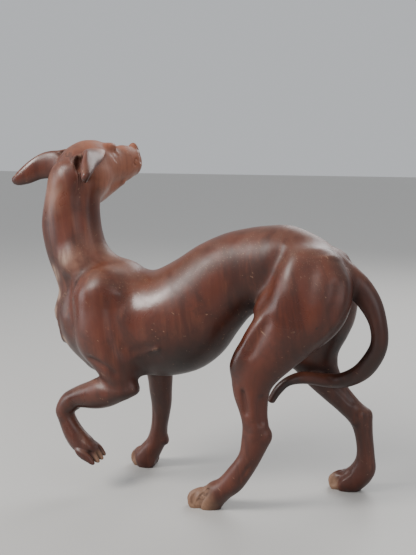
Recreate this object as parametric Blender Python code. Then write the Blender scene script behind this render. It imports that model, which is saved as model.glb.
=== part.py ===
"""Carved wooden greyhound, one solid, standing on three paws.

The dog walks towards -X with its left side at -Y, its left forepaw raised and its head
turned back over its right side. Metres, +Z up, origin on the floor in the middle of its box.
The figure is free form: its pose, its limbs and its carving are hundredths of its height.
"""
import bmesh
import bpy
import math
import numpy as np

# Driving sizes, in metres
HEIGHT = 0.625
UNIT = HEIGHT / 100.0

# Mesh sizes, in hundredths of the height
BLOCK_VOXEL = 0.62
GRADIENT_STEP = 0.12
LONGEST_PULL = 0.5
SOLE_SNAP = 0.22
FAR_OUTSIDE = 1000.0

# How the block is worked, as plain counts
FACE_BUDGET = 9600
RING_POINTS = 14
STEPS_PER_SPAN = 4
PULL_PASSES = 9

# Shares: how much the mesh is evened out in a pass, the least steepness that a pull allows for,
# and how soon a groove reaches its full depth from either end
EVEN_OUT = 0.5
LEAST_STEEPNESS = 0.05
GROOVE_START = 6.4

# Wood, as the photograph shows it
WOOD_COLOUR = (0.105, 0.034, 0.021, 1.0)
WOOD_ROUGHNESS = 0.38

LEFT = -1.0
RIGHT = 1.0


def unit(vector):
    """The same direction with length one."""
    vector = np.asarray(vector, float)
    return vector / np.linalg.norm(vector)


def smooth_rows(rows):
    """Rows read from a smooth curve through the given rows."""
    rows = np.asarray(rows, float)
    padded = np.vstack([2 * rows[0] - rows[1], rows, 2 * rows[-1] - rows[-2]])
    result = []
    for index in range(len(rows) - 1):
        before, start, end, after = padded[index:index + 4]
        for step in range(STEPS_PER_SPAN):
            t = step / STEPS_PER_SPAN
            bend = 2 * before - 5 * start + 4 * end - after
            twist = -before + 3 * start - 3 * end + after
            result.append(start + 0.5 * (t * (end - before) + t * t * bend + t ** 3 * twist))
    result.append(rows[-1])
    return np.array(result)


def sweep(rows, blend, ends=0.8):
    """A limb lofted through rows of two outline points and a half width."""
    rows = smooth_rows(rows)
    one, other, half_width = rows[:, 0:3], rows[:, 3:6], rows[:, 6:7]
    centre = (one + other) / 2
    rise = (one - other) / 2
    along = np.gradient(centre, axis=0)
    side = np.cross(along, rise)
    side = side / np.linalg.norm(side, axis=1, keepdims=True) * half_width
    ahead = np.cross(rise, side)
    ahead = ahead / np.linalg.norm(ahead, axis=1, keepdims=True)
    ahead = ahead * np.sign(np.sum(ahead * along, axis=1, keepdims=True))
    return {"kind": "sweep", "centre": centre, "rise": rise, "side": side,
            "ahead": ahead, "ends": ends, "blend": blend, "cut": False}


def in_plane(rows):
    """Side-view rows (x, z, x, z, y, half width) as rows with three-dimensional points."""
    return [(ax, y, az, bx, y, bz, wide) for ax, az, bx, bz, y, wide in rows]


def mass(centre, long_axis, thick, wide, blend, out=(0.0, 1.0, 0.0), cut=False):
    """An ellipsoid: half its length along long_axis, wide along out and thick across both."""
    long_axis = np.asarray(long_axis, float)
    ahead = unit(long_axis)
    side = unit(np.asarray(out, float) - ahead * np.dot(out, ahead))
    axes = np.array([ahead, np.cross(side, ahead), side])
    radii = np.array([np.linalg.norm(long_axis), thick, wide])
    return {"kind": "mass", "centre": np.asarray(centre, float), "axes": axes,
            "radii": radii, "blend": blend, "cut": cut}


def groove(points, width, depth):
    """A groove along a smooth path, or a ridge where depth is negative."""
    return {"kind": "groove", "path": smooth_rows(points), "width": width, "depth": depth}


def round_distance(local, radii):
    """Signed distance, near enough, to an ellipsoid in its own axes."""
    scaled = np.sqrt(((local / radii) ** 2).sum(axis=1))
    slope = np.sqrt(((local / radii ** 2) ** 2).sum(axis=1))
    return scaled * (scaled - 1.0) / np.maximum(slope, 1e-6)


def nearest_row(points, form):
    """For each point, the row of a lofted limb whose outline passes nearest to it."""
    centre, rise, side, ahead = form["centre"], form["rise"], form["side"], form["ahead"]
    up = rise / (rise ** 2).sum(axis=1, keepdims=True)
    out = side / (side ** 2).sum(axis=1, keepdims=True)
    across_up = points @ up.T - (centre * up).sum(axis=1)
    across_out = points @ out.T - (centre * out).sum(axis=1)
    past = points @ ahead.T - (centre * ahead).sum(axis=1)
    share = np.sqrt(across_up ** 2 + across_out ** 2) + 1e-6
    radial = across_up ** 2 * (rise ** 2).sum(axis=1) + across_out ** 2 * (side ** 2).sum(axis=1)
    return (past ** 2 + radial * (1.0 - 1.0 / share) ** 2).argmin(axis=1)


def sweep_distance(points, form):
    """Signed distance, near enough, from points to a lofted limb."""
    centre, rise, side, ahead = form["centre"], form["rise"], form["side"], form["ahead"]
    nearest = nearest_row(points, form)
    last = len(centre) - 2
    best = np.full(len(points), np.inf)
    for shift in (-2, 1, -1, 0):
        first = np.clip(nearest + shift, 0, last)
        past_first = ((points - centre[first]) * ahead[first]).sum(axis=1)
        past_next = ((points - centre[first + 1]) * ahead[first + 1]).sum(axis=1)
        span = past_first - past_next
        share = np.where(span > 1e-6, past_first / np.maximum(span, 1e-6), past_first > 0)
        share = np.clip(share, 0.0, 1.0)[:, None]
        middle = centre[first] * (1 - share) + centre[first + 1] * share
        up = rise[first] * (1 - share) + rise[first + 1] * share
        out = side[first] * (1 - share) + side[first + 1] * share
        up_size = np.linalg.norm(up, axis=1)
        out_size = np.linalg.norm(out, axis=1)
        end_size = form["ends"] * np.minimum(up_size, out_size)
        up = up / up_size[:, None]
        out = out / out_size[:, None]
        offset = points - middle
        sizes = np.stack([up_size, out_size, end_size], axis=1)
        local = np.stack([(offset * up).sum(axis=1), (offset * out).sum(axis=1),
                          (offset * np.cross(up, out)).sum(axis=1)], axis=1)
        distance = round_distance(local, sizes)
        between = ((past_first >= 0) | (first == 0)) & ((past_next <= 0) | (first == last))
        best = np.where(between, np.minimum(best, distance), best)
    return np.where(np.isinf(best), distance, best)


def mass_distance(points, form):
    """Signed distance, near enough, to one ellipsoid mass."""
    local = (points - form["centre"]) @ form["axes"].T
    return round_distance(local, form["radii"])


def groove_depth(points, form):
    """How far a groove sinks the surface at each point."""
    path = form["path"]
    starts, ends = path[:-1], path[1:]
    best = np.full(len(points), np.inf)
    place = np.zeros(len(points))
    for index, (start, end) in enumerate(zip(starts, ends)):
        line = end - start
        share = np.clip(((points - start) @ line) / (line @ line), 0.0, 1.0)
        gap = np.linalg.norm(points - start - share[:, None] * line, axis=1)
        nearer = gap < best
        best = np.where(nearer, gap, best)
        place = np.where(nearer, (index + share) / len(starts), place)
    fade = np.clip(GROOVE_START * place * (1.0 - place), 0.0, 1.0)
    return form["depth"] * fade * np.exp(-(best / form["width"]) ** 2)


def reach(form):
    """Lowest and highest corner of the space that a form can change."""
    if form["kind"] == "sweep":
        size = np.linalg.norm(form["rise"], axis=1, keepdims=True)
        size = size + np.linalg.norm(form["side"], axis=1, keepdims=True)
        low, high = (form["centre"] - size).min(axis=0), (form["centre"] + size).max(axis=0)
        margin = form["blend"] + 2.0
    elif form["kind"] == "mass":
        size = np.sqrt(((form["axes"] * form["radii"][:, None]) ** 2).sum(axis=0))
        low, high = form["centre"] - size, form["centre"] + size
        margin = form["blend"] + 2.0
    else:
        low, high = form["path"].min(axis=0), form["path"].max(axis=0)
        margin = 3.0 * form["width"]
    return low - margin, high + margin


def field(points, forms):
    """Height above the carved surface at each point: inside the wood it is negative."""
    surface = np.full(len(points), FAR_OUTSIDE)
    for form in forms:
        low, high = form["reach"]
        near = np.all((points > low) & (points < high), axis=1)
        if not near.any():
            continue
        here = points[near]
        if form["kind"] == "groove":
            surface[near] += groove_depth(here, form)
            continue
        measure = sweep_distance if form["kind"] == "sweep" else mass_distance
        distance = measure(here, form)
        blend = form["blend"]
        if form["cut"]:
            meet = np.maximum(blend - np.abs(surface[near] + distance), 0.0) / blend
            surface[near] = np.maximum(surface[near], -distance) + meet ** 2 * blend / 4
        else:
            meet = np.maximum(blend - np.abs(surface[near] - distance), 0.0) / blend
            surface[near] = np.minimum(surface[near], distance) - meet ** 2 * blend / 4
    return np.maximum(surface, -points[:, 2])


def field_and_slope(points, forms):
    """The field and its gradient, from four samples around each point."""
    corners = np.array([(1, 1, 1), (1, -1, -1), (-1, 1, -1), (-1, -1, 1)]) / math.sqrt(3)
    value = np.zeros(len(points))
    slope = np.zeros_like(points)
    for corner in corners:
        sample = field(points + corner * GRADIENT_STEP, forms)
        value += sample / 4
        slope += corner * sample[:, None] * 0.75 / GRADIENT_STEP
    return value, slope


def trunk():
    """Chest, ribs, tucked-up waist and rump, in one loft of top and belly points."""
    rows = [
        (-46.2, 55.2, -46.3, 40.3, 0.0, 5.3),
        (-43.4, 58.6, -43.8, 37.8, 0.0, 7.0),
        (-40.0, 61.4, -40.2, 35.0, 0.0, 8.6),
        (-36.0, 64.2, -36.6, 32.9, 0.0, 10.4),
        (-28.0, 65.9, -28.6, 32.2, 0.0, 12.0),
        (-22.8, 63.6, -20.4, 33.1, 0.0, 12.8),
        (-18.6, 63.5, -13.2, 33.5, 0.0, 13.2),
        (-12.4, 66.6, -5.2, 36.0, 0.0, 12.8),
        (-5.6, 71.0, 1.0, 40.8, 0.0, 11.6),
        (1.5, 74.3, 5.3, 46.9, 0.0, 9.8),
        (7.5, 75.9, 9.2, 51.8, 0.0, 8.8),
        (13.5, 76.9, 13.6, 54.2, 0.0, 8.6),
        (20.3, 77.1, 19.2, 53.0, 0.0, 9.2),
        (27.3, 74.6, 24.6, 51.7, 0.0, 9.6),
        (32.7, 71.1, 29.2, 53.3, 0.0, 7.6),
        (36.2, 67.3, 33.5, 57.6, 0.0, 4.6),
    ]
    return [sweep(in_plane(rows), blend=2.0)]


def neck():
    """Long arched neck, deeper than wide, leaning over to the right at its top."""
    rows = [
        (-47.1, 0.0, 48.0, -22.8, 0.0, 55.0, 7.6),
        (-48.8, 0.0, 57.2, -28.3, 0.0, 63.6, 7.3),
        (-51.5, 0.0, 64.5, -33.7, 0.0, 69.2, 7.0),
        (-53.1, 0.0, 70.3, -35.5, 0.0, 73.6, 6.9),
        (-53.8, 0.2, 75.8, -36.3, 0.2, 78.7, 6.8),
        (-52.7, -0.2, 82.2, -36.4, 0.8, 82.8, 7.0),
        (-51.1, -0.8, 88.0, -35.8, 2.6, 86.0, 7.2),
        (-47.4, -1.0, 92.6, -36.2, 3.8, 88.2, 6.8),
    ]
    forms = [sweep(rows, blend=3.4)]
    for side in (LEFT, RIGHT):
        forms.append(groove([(-38.4, 0.6 + side * 5.4, 90.0), (-39.2, 0.2 + side * 5.8, 84.0),
                             (-39.0, side * 6.3, 78.0), (-37.8, side * 6.8, 73.0),
                             (-34.6, side * 7.6, 68.4), (-30.8, side * 8.4, 65.0)], 1.8, 1.6))
        forms.append(groove([(-50.4, side * 4.6, 66.0), (-48.2, side * 6.2, 60.0),
                             (-46.2, side * 6.8, 54.0)], 1.8, 0.4))
    return forms


def thigh_masses(side, knee, hip_shift, knee_shift):
    """Muscles of one hindquarter, on the leg whose knee is at the given place."""
    knee_x, knee_y, knee_z = knee
    front = mass((22.8 + hip_shift, side * 9.0, 59.8), (1.6, 0.0, 9.8), 4.0, 4.7, blend=5.0)
    back = mass((31.4 + hip_shift * 0.5, side * 7.4, 58.5), (1.4, 0.0, 9.0), 5.4, 4.8, blend=5.6)
    to_knee = mass((knee_x + 6.5 + knee_shift, knee_y * 0.98, knee_z + 7.2), (4.2, 0.0, 7.2),
                   2.6, 3.4, blend=3.0)
    cap = mass((knee_x + 2.6, knee_y, knee_z + 0.4), (1.4, 0.0, 3.2), 2.0, 2.8, blend=2.6)
    return [front, back, to_knee, cap]


def hind_leg_left():
    """Left hind leg, reaching forward under the belly."""
    rows = [
        (20.7, 68.2, 34.8, 68.8, -6.2, 4.6),
        (17.6, 60.8, 37.4, 61.8, -7.4, 6.0),
        (14.5, 54.1, 36.6, 55.0, -8.8, 6.4),
        (11.5, 48.2, 31.3, 47.3, -10.0, 5.9),
        (8.9, 42.7, 23.9, 40.5, -10.9, 5.0),
        (7.5, 39.4, 20.2, 37.0, -11.4, 4.3),
        (8.2, 33.0, 18.1, 33.8, -11.8, 3.6),
        (10.0, 28.0, 17.6, 28.7, -12.0, 3.1),
        (10.8, 24.6, 18.0, 25.0, -12.1, 2.8),
        (10.6, 20.8, 18.7, 21.5, -12.1, 2.7),
        (9.8, 16.4, 16.4, 16.1, -12.0, 2.5),
        (6.8, 12.0, 13.5, 10.8, -11.8, 2.6),
        (3.9, 8.6, 10.4, 6.2, -11.5, 2.9),
        (1.2, 7.0, 7.2, 3.4, -11.2, 3.2),
        (-1.0, 4.8, 4.0, -0.1, -11.0, 3.3),
    ]
    forms = [sweep(in_plane(rows), blend=3.0)]
    forms += thigh_masses(LEFT, (7.6, -11.4, 41.5), 0.0, 0.0)
    forms.append(mass((17.4, -12.1, 21.8), (0.4, 0.0, 1.8), 1.2, 1.6, blend=1.2))
    forms.append(mass((14.8, -13.7, 23.2), (0.5, 0.0, 2.4), 1.2, 1.2, blend=1.2))
    forms.append(groove([(16.4, -14.0, 34.0), (16.4, -14.2, 29.0), (16.9, -13.9, 25.0)],
                        0.8, 0.8))
    forms.append(groove([(11.6, -14.4, 36.0), (12.2, -14.6, 31.5), (12.8, -14.4, 27.5)],
                        0.9, 0.7))
    forms.append(groove([(14.0, -14.8, 35.0), (14.4, -14.8, 30.0), (14.6, -14.6, 26.0)],
                        0.8, -0.4))
    return forms


def hind_leg_right():
    """Right hind leg, trailing behind."""
    rows = [
        (18.0, 67.6, 34.0, 67.6, 6.2, 4.6),
        (14.2, 59.0, 36.1, 59.4, 7.4, 6.0),
        (11.6, 50.6, 36.3, 51.6, 8.8, 6.4),
        (11.0, 43.6, 34.5, 46.2, 10.0, 5.9),
        (13.9, 38.4, 31.9, 41.2, 10.9, 5.1),
        (18.9, 35.3, 31.4, 38.0, 11.5, 4.1),
        (22.8, 30.9, 31.8, 35.3, 12.2, 3.5),
        (27.2, 27.1, 34.0, 30.9, 12.8, 3.1),
        (31.4, 23.6, 37.6, 26.5, 13.4, 2.8),
        (35.1, 19.8, 40.8, 23.4, 13.8, 2.6),
        (36.6, 15.0, 41.4, 16.9, 14.1, 2.5),
        (36.7, 10.3, 42.0, 10.8, 14.4, 2.6),
        (35.2, 7.4, 42.3, 6.4, 14.6, 2.9),
        (33.4, 5.8, 40.7, 2.9, 14.7, 3.1),
        (31.8, 4.6, 37.8, -0.1, 14.7, 3.3),
    ]
    forms = [sweep(in_plane(rows), blend=3.0)]
    forms += thigh_masses(RIGHT, (12.6, 11.4, 39.5), -2.0, 0.6)
    forms.append(mass((39.8, 13.7, 22.5), (0.3, 0.0, 1.8), 1.2, 1.7, blend=1.0))
    forms.append(mass((37.4, 11.8, 22.2), (1.4, 0.0, 2.0), 1.2, 1.1, blend=1.2))
    forms.append(groove([(29.6, 9.8, 33.6), (33.4, 10.6, 29.4), (36.6, 11.2, 26.0)], 0.9, 0.7))
    return forms


def shoulder_masses(side, shift):
    """Shoulder blade and upper arm of one side, and the breast muscle in front of them."""
    return [
        mass((-32.6 + shift, side * 8.4, 56.8), (2.6, 0.0, 6.4), 4.8, 4.6, blend=5.0),
        mass((-33.0 + shift, side * 9.4, 45.0), (1.2, 0.0, -5.4), 4.8, 4.4, blend=5.0),
        mass((-41.6, side * 4.8, 47.0), (2.4, 0.0, -6.2), 2.9, 3.4, blend=3.6),
        mass((-41.0, side * 5.4, 64.4), (1.6, 0.0, -4.4), 3.0, 2.6, blend=3.6),
    ]


def foreleg_left():
    """Raised left foreleg: upper arm to the elbow, then the forearm bent back at the wrist."""
    upper = [
        (-38.6, 54.8, -26.8, 58.8, -7.4, 4.6),
        (-37.0, 48.1, -24.1, 51.0, -8.6, 5.2),
        (-35.0, 41.1, -22.2, 43.6, -9.4, 5.2),
        (-32.0, 35.4, -21.7, 36.4, -9.8, 4.8),
        (-29.0, 31.0, -21.1, 31.4, -9.9, 3.4),
    ]
    lower = [
        (-21.2, 31.4, -20.7, 30.1, -9.9, 1.3),
        (-25.1, 32.3, -23.7, 28.0, -9.9, 3.6),
        (-31.5, 33.6, -28.4, 25.5, -9.9, 4.0),
        (-35.6, 32.0, -32.7, 24.4, -9.8, 3.5),
        (-40.1, 29.9, -37.7, 24.2, -9.6, 3.1),
        (-43.8, 27.4, -38.8, 23.6, -9.6, 3.1),
        (-45.9, 23.2, -40.4, 22.2, -9.6, 2.8),
        (-45.0, 19.8, -39.7, 20.3, -9.6, 2.6),
        (-43.3, 15.2, -37.6, 17.6, -9.6, 2.6),
        (-41.1, 12.1, -35.4, 15.4, -9.6, 2.8),
        (-38.4, 10.4, -34.8, 13.5, -9.6, 2.9),
    ]
    forms = shoulder_masses(LEFT, 0.0)
    forms += [sweep(in_plane(upper), blend=5.6), sweep(in_plane(lower), blend=1.8)]
    forms.append(mass((-21.8, -9.9, 31.8), (0.5, 0.0, -1.9), 1.1, 1.5, blend=1.6))
    forms.append(groove([(-42.0, -6.2, 63.0), (-42.4, -7.4, 59.0), (-43.0, -8.0, 55.0),
                         (-43.4, -8.0, 50.0)], 2.0, 0.55))
    forms.append(groove([(-39.6, -8.6, 63.0), (-40.4, -7.8, 60.0), (-41.2, -7.6, 57.4)],
                        0.6, -0.5))
    forms.append(groove([(-27.6, -12.2, 58.0), (-26.4, -13.2, 51.0), (-24.6, -13.6, 45.0),
                         (-21.4, -13.4, 40.0)], 2.6, 0.8))
    forms.append(groove([(-34.6, -13.0, 40.6), (-30.6, -14.0, 39.4), (-26.6, -13.8, 37.2),
                         (-24.6, -13.2, 34.6)], 1.0, 0.5))
    forms.append(groove([(-22.0, -13.0, 42.0), (-19.0, -13.0, 42.6), (-15.6, -13.0, 44.6)],
                        1.1, 0.35))
    forms.append(groove([(-20.9, -12.4, 36.6), (-17.0, -12.6, 38.6), (-12.6, -12.4, 41.6)],
                        1.5, 0.8))
    forms.append(groove([(-20.6, -13.0, 38.6), (-17.6, -13.2, 40.8), (-14.8, -13.2, 42.7),
                         (-12.0, -13.0, 44.2)], 0.8, -0.7))
    return forms


def foreleg_right():
    """Right foreleg, straight under the shoulder."""
    rows = [
        (-33.0, 52.0, -19.0, 53.0, 6.4, 4.8),
        (-29.6, 45.0, -16.6, 44.9, 7.4, 4.9),
        (-27.0, 36.3, -17.2, 36.6, 8.6, 4.2),
        (-25.4, 30.6, -17.6, 30.6, 9.6, 3.5),
        (-25.2, 25.4, -18.3, 25.6, 10.8, 3.1),
        (-25.1, 21.2, -18.9, 21.2, 12.0, 2.8),
        (-25.5, 16.6, -20.1, 16.6, 13.2, 2.7),
        (-26.4, 12.6, -21.1, 13.0, 14.2, 2.8),
        (-27.9, 9.0, -21.8, 8.4, 15.0, 2.9),
        (-30.2, 6.4, -23.7, 4.4, 15.3, 3.2),
        (-31.6, 5.0, -26.0, -0.2, 15.4, 3.4),
    ]
    forms = shoulder_masses(RIGHT, 1.0)
    forms.append(sweep(in_plane(rows), blend=3.0))
    forms.append(mass((-18.8, 9.0, 37.6), (0.8, 0.0, -2.6), 1.5, 1.8, blend=1.6))
    forms.append(mass((-21.9, 15.0, 8.8), (0.3, 0.0, -1.3), 0.8, 1.5, blend=1.2))
    forms.append(groove([(-42.0, 6.2, 63.0), (-40.6, 7.8, 59.0), (-39.8, 9.0, 55.0),
                         (-39.2, 9.6, 50.0)], 2.2, 0.7))
    forms.append(groove([(-26.0, 12.2, 59.0), (-23.0, 13.0, 52.0), (-18.4, 13.6, 45.0),
                         (-15.4, 13.4, 39.0)], 2.6, 0.8))
    return forms


def flank_grooves():
    """The fold in front of each thigh, the dip behind the hip and the thigh's rear rim."""
    forms = []
    for side, shift in ((LEFT, 0.0), (RIGHT, -1.6)):
        forms.append(groove([(21.6 + shift, side * 8.6, 72.5), (17.6 + shift, side * 9.6, 66.0),
                             (14.4 + shift, side * 9.4, 59.0)], 2.3, 0.75))
        forms.append(groove([(28.8 + shift, side * 11.4, 69.0), (28.8 + shift, side * 13.0, 61.0),
                             (26.6 + shift, side * 14.2, 52.0)], 2.6, 0.45))
        forms.append(groove([(35.6 + shift, side * 11.0, 65.0), (35.4 + shift, side * 12.4, 60.0),
                             (33.0 + shift, side * 13.6, 54.0)], 1.4, 0.3))
        forms.append(groove([(37.2 + shift, side * 8.6, 66.6), (37.3 + shift, side * 10.6, 60.0),
                             (35.0 + shift, side * 12.0, 53.6), (29.8 + shift, side * 13.0, 47.6)],
                            0.9, -0.6))
        forms.append(mass((15.2 + shift, side * 8.0, 57.4), (2.2, 0.0, 3.0), 1.3, 1.8, blend=3.4))
    forms.append(groove([(18.8, -14.0, 55.0), (15.8, -14.8, 49.0), (12.6, -15.0, 43.0)], 1.7, 0.55))
    forms.append(groove([(16.4, -13.2, 54.0), (12.8, -14.0, 47.6), (9.6, -13.4, 41.0)], 1.3, -0.35))
    return forms


def tail():
    """Tail: down from the rump, round behind and forward between the hind legs."""
    rows = [
        (33.2, 70.6, 29.6, 62.4, 0.0, 2.8),
        (37.7, 67.1, 34.4, 60.6, 0.0, 2.7),
        (41.8, 63.4, 38.0, 57.3, 0.0, 2.5),
        (45.1, 58.1, 40.7, 53.9, 0.0, 2.4),
        (46.8, 51.8, 42.2, 50.6, 0.0, 2.4),
        (47.1, 46.4, 42.4, 46.6, 0.0, 2.3),
        (45.5, 41.5, 40.2, 42.4, 0.8, 2.2),
        (41.9, 36.6, 37.2, 38.9, 2.4, 2.1),
        (36.3, 33.1, 33.1, 36.4, 4.8, 2.0),
        (30.6, 31.9, 29.1, 35.8, 6.2, 1.9),
        (24.3, 32.6, 23.1, 36.1, 5.2, 1.7),
        (20.0, 32.3, 19.1, 34.9, 3.2, 1.5),
        (17.7, 30.2, 16.1, 32.4, 1.9, 1.3),
        (16.1, 27.8, 14.0, 28.6, 1.3, 1.0),
    ]
    return [sweep(in_plane(rows), blend=1.4)]


# The head's own axes: forward along the muzzle, out of its right cheek, and up
HEAD_PLACE = np.array([-42.4, 3.9, 92.4])
HEAD_HEADING = math.radians(62.0)
HEAD_PITCH = math.radians(6.0)
EAR_TILT = 0.08
HEAD_FORWARD = np.array([
    math.cos(HEAD_HEADING) * math.cos(HEAD_PITCH),
    math.sin(HEAD_HEADING) * math.cos(HEAD_PITCH),
    math.sin(HEAD_PITCH)])
HEAD_RIGHT = unit(np.cross(HEAD_FORWARD, (0.0, 0.0, 1.0)))
HEAD_UP = np.cross(HEAD_RIGHT, HEAD_FORWARD)


def head_point(forward, right, up):
    """A place on the head, from its own axes."""
    return HEAD_PLACE + forward * HEAD_FORWARD + right * HEAD_RIGHT + up * HEAD_UP


def head_rows(rows):
    """Rows (forward, top, bottom, half width) along the head's middle."""
    result = []
    for forward, top, bottom, wide in rows:
        one, other = head_point(forward, 0.0, top), head_point(forward, 0.0, bottom)
        result.append((*one, *other, wide))
    return result


def head():
    """Skull and blunt muzzle, lower jaw, nose, brows and eyes."""
    skull = [
        (-7.4, 1.8, -6.6, 4.2),
        (-4.6, 5.2, -8.6, 5.9),
        (0.0, 6.9, -9.2, 6.8),
        (4.4, 6.7, -8.8, 6.2),
        (7.6, 5.4, -7.8, 5.3),
        (10.8, 3.9, -7.0, 4.6),
        (14.2, 4.1, -6.8, 4.2),
        (17.4, 3.4, -5.6, 3.7),
    ]
    jaw = [
        (-2.4, -4.0, -11.4, 4.6),
        (2.4, -4.4, -12.0, 4.4),
        (8.0, -5.0, -9.7, 3.4),
        (11.8, -5.2, -7.9, 2.7),
    ]
    forms = [sweep(head_rows(skull), blend=3.0), sweep(head_rows(jaw), blend=1.4)]
    forms.append(mass(head_point(18.7, 0.0, 2.6), HEAD_UP * 1.7, 1.1, 1.8, blend=1.0,
                      out=HEAD_RIGHT))
    for side in (LEFT, RIGHT):
        forms.append(mass(head_point(7.6, side * 3.0, 4.4), HEAD_FORWARD * 2.2, 1.2, 1.5,
                          blend=1.6, out=HEAD_RIGHT))
        forms.append(mass(head_point(0.6, side * 4.2, -4.4), HEAD_FORWARD * 4.2, 3.6, 2.8,
                          blend=2.4, out=HEAD_RIGHT))
        forms.append(groove([head_point(-7.4, side * 4.0, 2.6), head_point(-5.4, side * 5.6, 4.2),
                             head_point(-2.4, side * 6.0, 4.8), head_point(1.6, side * 5.8, 4.4)],
                            1.0, -0.8))
        forms.append(groove([head_point(9.2, side * 3.6, 3.2), head_point(8.6, side * 5.0, 1.6),
                             head_point(7.2, side * 5.6, 0.6)], 1.0, 0.5))
        forms.append(groove([head_point(18.9, side * 3.0, 1.4), head_point(18.9, side * 3.2, -0.4),
                             head_point(18.4, side * 3.6, -1.9)], 0.7, 0.9))
        forms.append(groove([head_point(17.6, side * 3.0, -5.6), head_point(14.6, side * 3.8, -5.8),
                             head_point(11.4, side * 4.0, -6.2)], 0.7, 0.8))
    return forms


def ear(side):
    """Ear held out and back: an upright leaf, its top folded forward in a flap over a hollow."""
    reach_out = (6.0, 8.3, 11.2, 13.9, 16.4, 17.8)
    leaf = zip(reach_out, (
        (-3.6, 3.8, -3.2, -3.8, 2.6), (-4.6, 4.8, -5.6, -3.1, 1.4), (-6.7, 4.5, -7.6, -2.9, 1.2),
        (-9.3, 2.9, -10.1, -3.7, 1.2), (-11.6, 0.6, -12.1, -3.9, 1.1),
        (-12.7, -1.0, -12.9, -3.4, 0.9)))
    flap = zip(reach_out, (
        (-4.0, 4.3, 3.6, 3.4, 1.0), (-4.8, 4.5, 1.4, 2.2, 0.9), (-6.7, 4.2, -2.0, 1.0, 0.85),
        (-9.2, 2.6, -6.1, -0.3, 0.9), (-11.5, 0.4, -9.2, -1.5, 0.9), (-12.5, -1.1, -11.4, -2.2, 0.8)))
    forms = []
    for rows, blend in ((leaf, 0.8), (flap, 0.7)):
        path = []
        for out, (ahead, top, low_ahead, low, thick) in rows:
            lift = side * EAR_TILT * (out - 4.0)
            path.append((*head_point(ahead, side * out, top + lift),
                         *head_point(low_ahead, side * out, low + lift), thick))
        forms.append(sweep(path, blend=blend))
    if side == RIGHT:
        forms.append(mass(head_point(-7.2, 8.2, 1.0),
                          -2.4 * HEAD_FORWARD + 3.6 * HEAD_RIGHT - 1.2 * HEAD_UP,
                          2.4, 1.7, blend=0.8, out=HEAD_FORWARD, cut=True))
    return forms


def paw(place, heading, drop, size, tall, behind):
    """Four toes side by side with creases between them; the outer two are set back."""
    ahead = np.array([math.cos(heading) * math.cos(drop), math.sin(heading) * math.cos(drop),
                      -math.sin(drop)])
    side = unit(np.cross((0.0, 0.0, 1.0), ahead))
    up = np.cross(ahead, side)
    place = np.asarray(place, float)
    forms = []
    for across, back, length in ((-2.6, behind, 3.4), (-1.05, 0.0, 3.8),
                                 (1.05, 0.0, 3.8), (2.6, behind, 3.4)):
        centre = place - ahead * back * size + side * across * size
        low = centre - up * 0.45 * abs(across) * size
        forms.append(mass(low, ahead * length * size, tall, 1.55 * size, blend=0.45, out=side))
    for across, back in ((-1.9, behind * 0.6), (0.0, 0.0), (1.9, behind * 0.6)):
        between = place - ahead * back * size + side * across * size
        forms.append(groove([between + ahead * 3.9 * size - up * 1.2,
                             between + ahead * 3.3 * size + up * 1.3,
                             between + ahead * 1.6 * size + up * 0.9 * tall,
                             between - ahead * 0.8 * size + up * tall], 0.6, 1.1))
    return forms


def curled_toes():
    """The raised paw's toes, curled back under it, and the pad behind them."""
    forms = []
    for across, ahead, up in ((-2.6, -0.6, 0.1), (-0.9, 0.2, 0.3), (0.8, 0.6, 0.7), (2.4, 0.6, 1.4)):
        centre = (-35.7 + ahead, -9.6 + across, 10.9 + up)
        forms.append(mass(centre, (2.7, 0.0, -1.6), 1.35, 1.1, blend=0.4))
        forms.append(mass((centre[0] + 2.0, centre[1], centre[2] - 1.5), (1.3, 0.0, -0.9),
                          0.8, 0.8, blend=0.4))
    forms.append(mass((-35.4, -9.8, 13.6), (1.7, 0.0, -1.7), 1.2, 2.4, blend=1.0))
    return forms


def carved_forms():
    """Every form of the figure, in the order in which they merge."""
    forms = trunk() + neck() + hind_leg_left() + hind_leg_right()
    forms += foreleg_left() + foreleg_right() + flank_grooves()
    forms += head() + ear(LEFT) + ear(RIGHT)
    forms += paw((-1.5, -11.2, 2.5), math.radians(203.0), 0.2, 0.98, 3.1, 2.6)
    forms += paw((32.0, 15.3, 2.6), math.radians(196.0), 0.2, 0.92, 3.0, 2.0)
    forms += paw((-30.1, 15.7, 3.0), math.radians(184.0), 0.2, 0.9, 3.4, 1.8)
    forms.append(groove([(3.6, -12.2, 5.8), (1.6, -12.7, 4.9), (0.2, -13.0, 3.2),
                         (-1.0, -13.3, 1.4), (-1.6, -13.4, 0.0)], 0.8, 1.6))
    forms.append(groove([(35.4, 12.6, 6.6), (33.4, 12.2, 5.2), (31.6, 12.3, 3.4),
                         (30.2, 12.4, 1.2)], 0.75, 1.5))
    forms += curled_toes()
    forms += tail()
    for form in forms:
        form["reach"] = reach(form)
    return forms


def add_ring_loft(block, form):
    """Lofted rings of one limb, closed at both ends."""
    rings = []
    for centre, rise, side in zip(form["centre"], form["rise"], form["side"]):
        ring = []
        for step in range(RING_POINTS):
            turn = 2 * math.pi * step / RING_POINTS
            ring.append(block.verts.new(centre + math.cos(turn) * rise + math.sin(turn) * side))
        rings.append(ring)
    for ring, following in zip(rings, rings[1:]):
        for step in range(RING_POINTS):
            after = (step + 1) % RING_POINTS
            block.faces.new((ring[step], ring[after], following[after], following[step]))
    block.faces.new(rings[0][::-1])
    block.faces.new(rings[-1])


def add_mass(block, form):
    """One ellipsoid of the block."""
    made = bmesh.ops.create_icosphere(block, subdivisions=2, radius=1.0)
    for vert in made["verts"]:
        local = np.array(vert.co) * form["radii"]
        vert.co = form["centre"] + local @ form["axes"]


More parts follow.
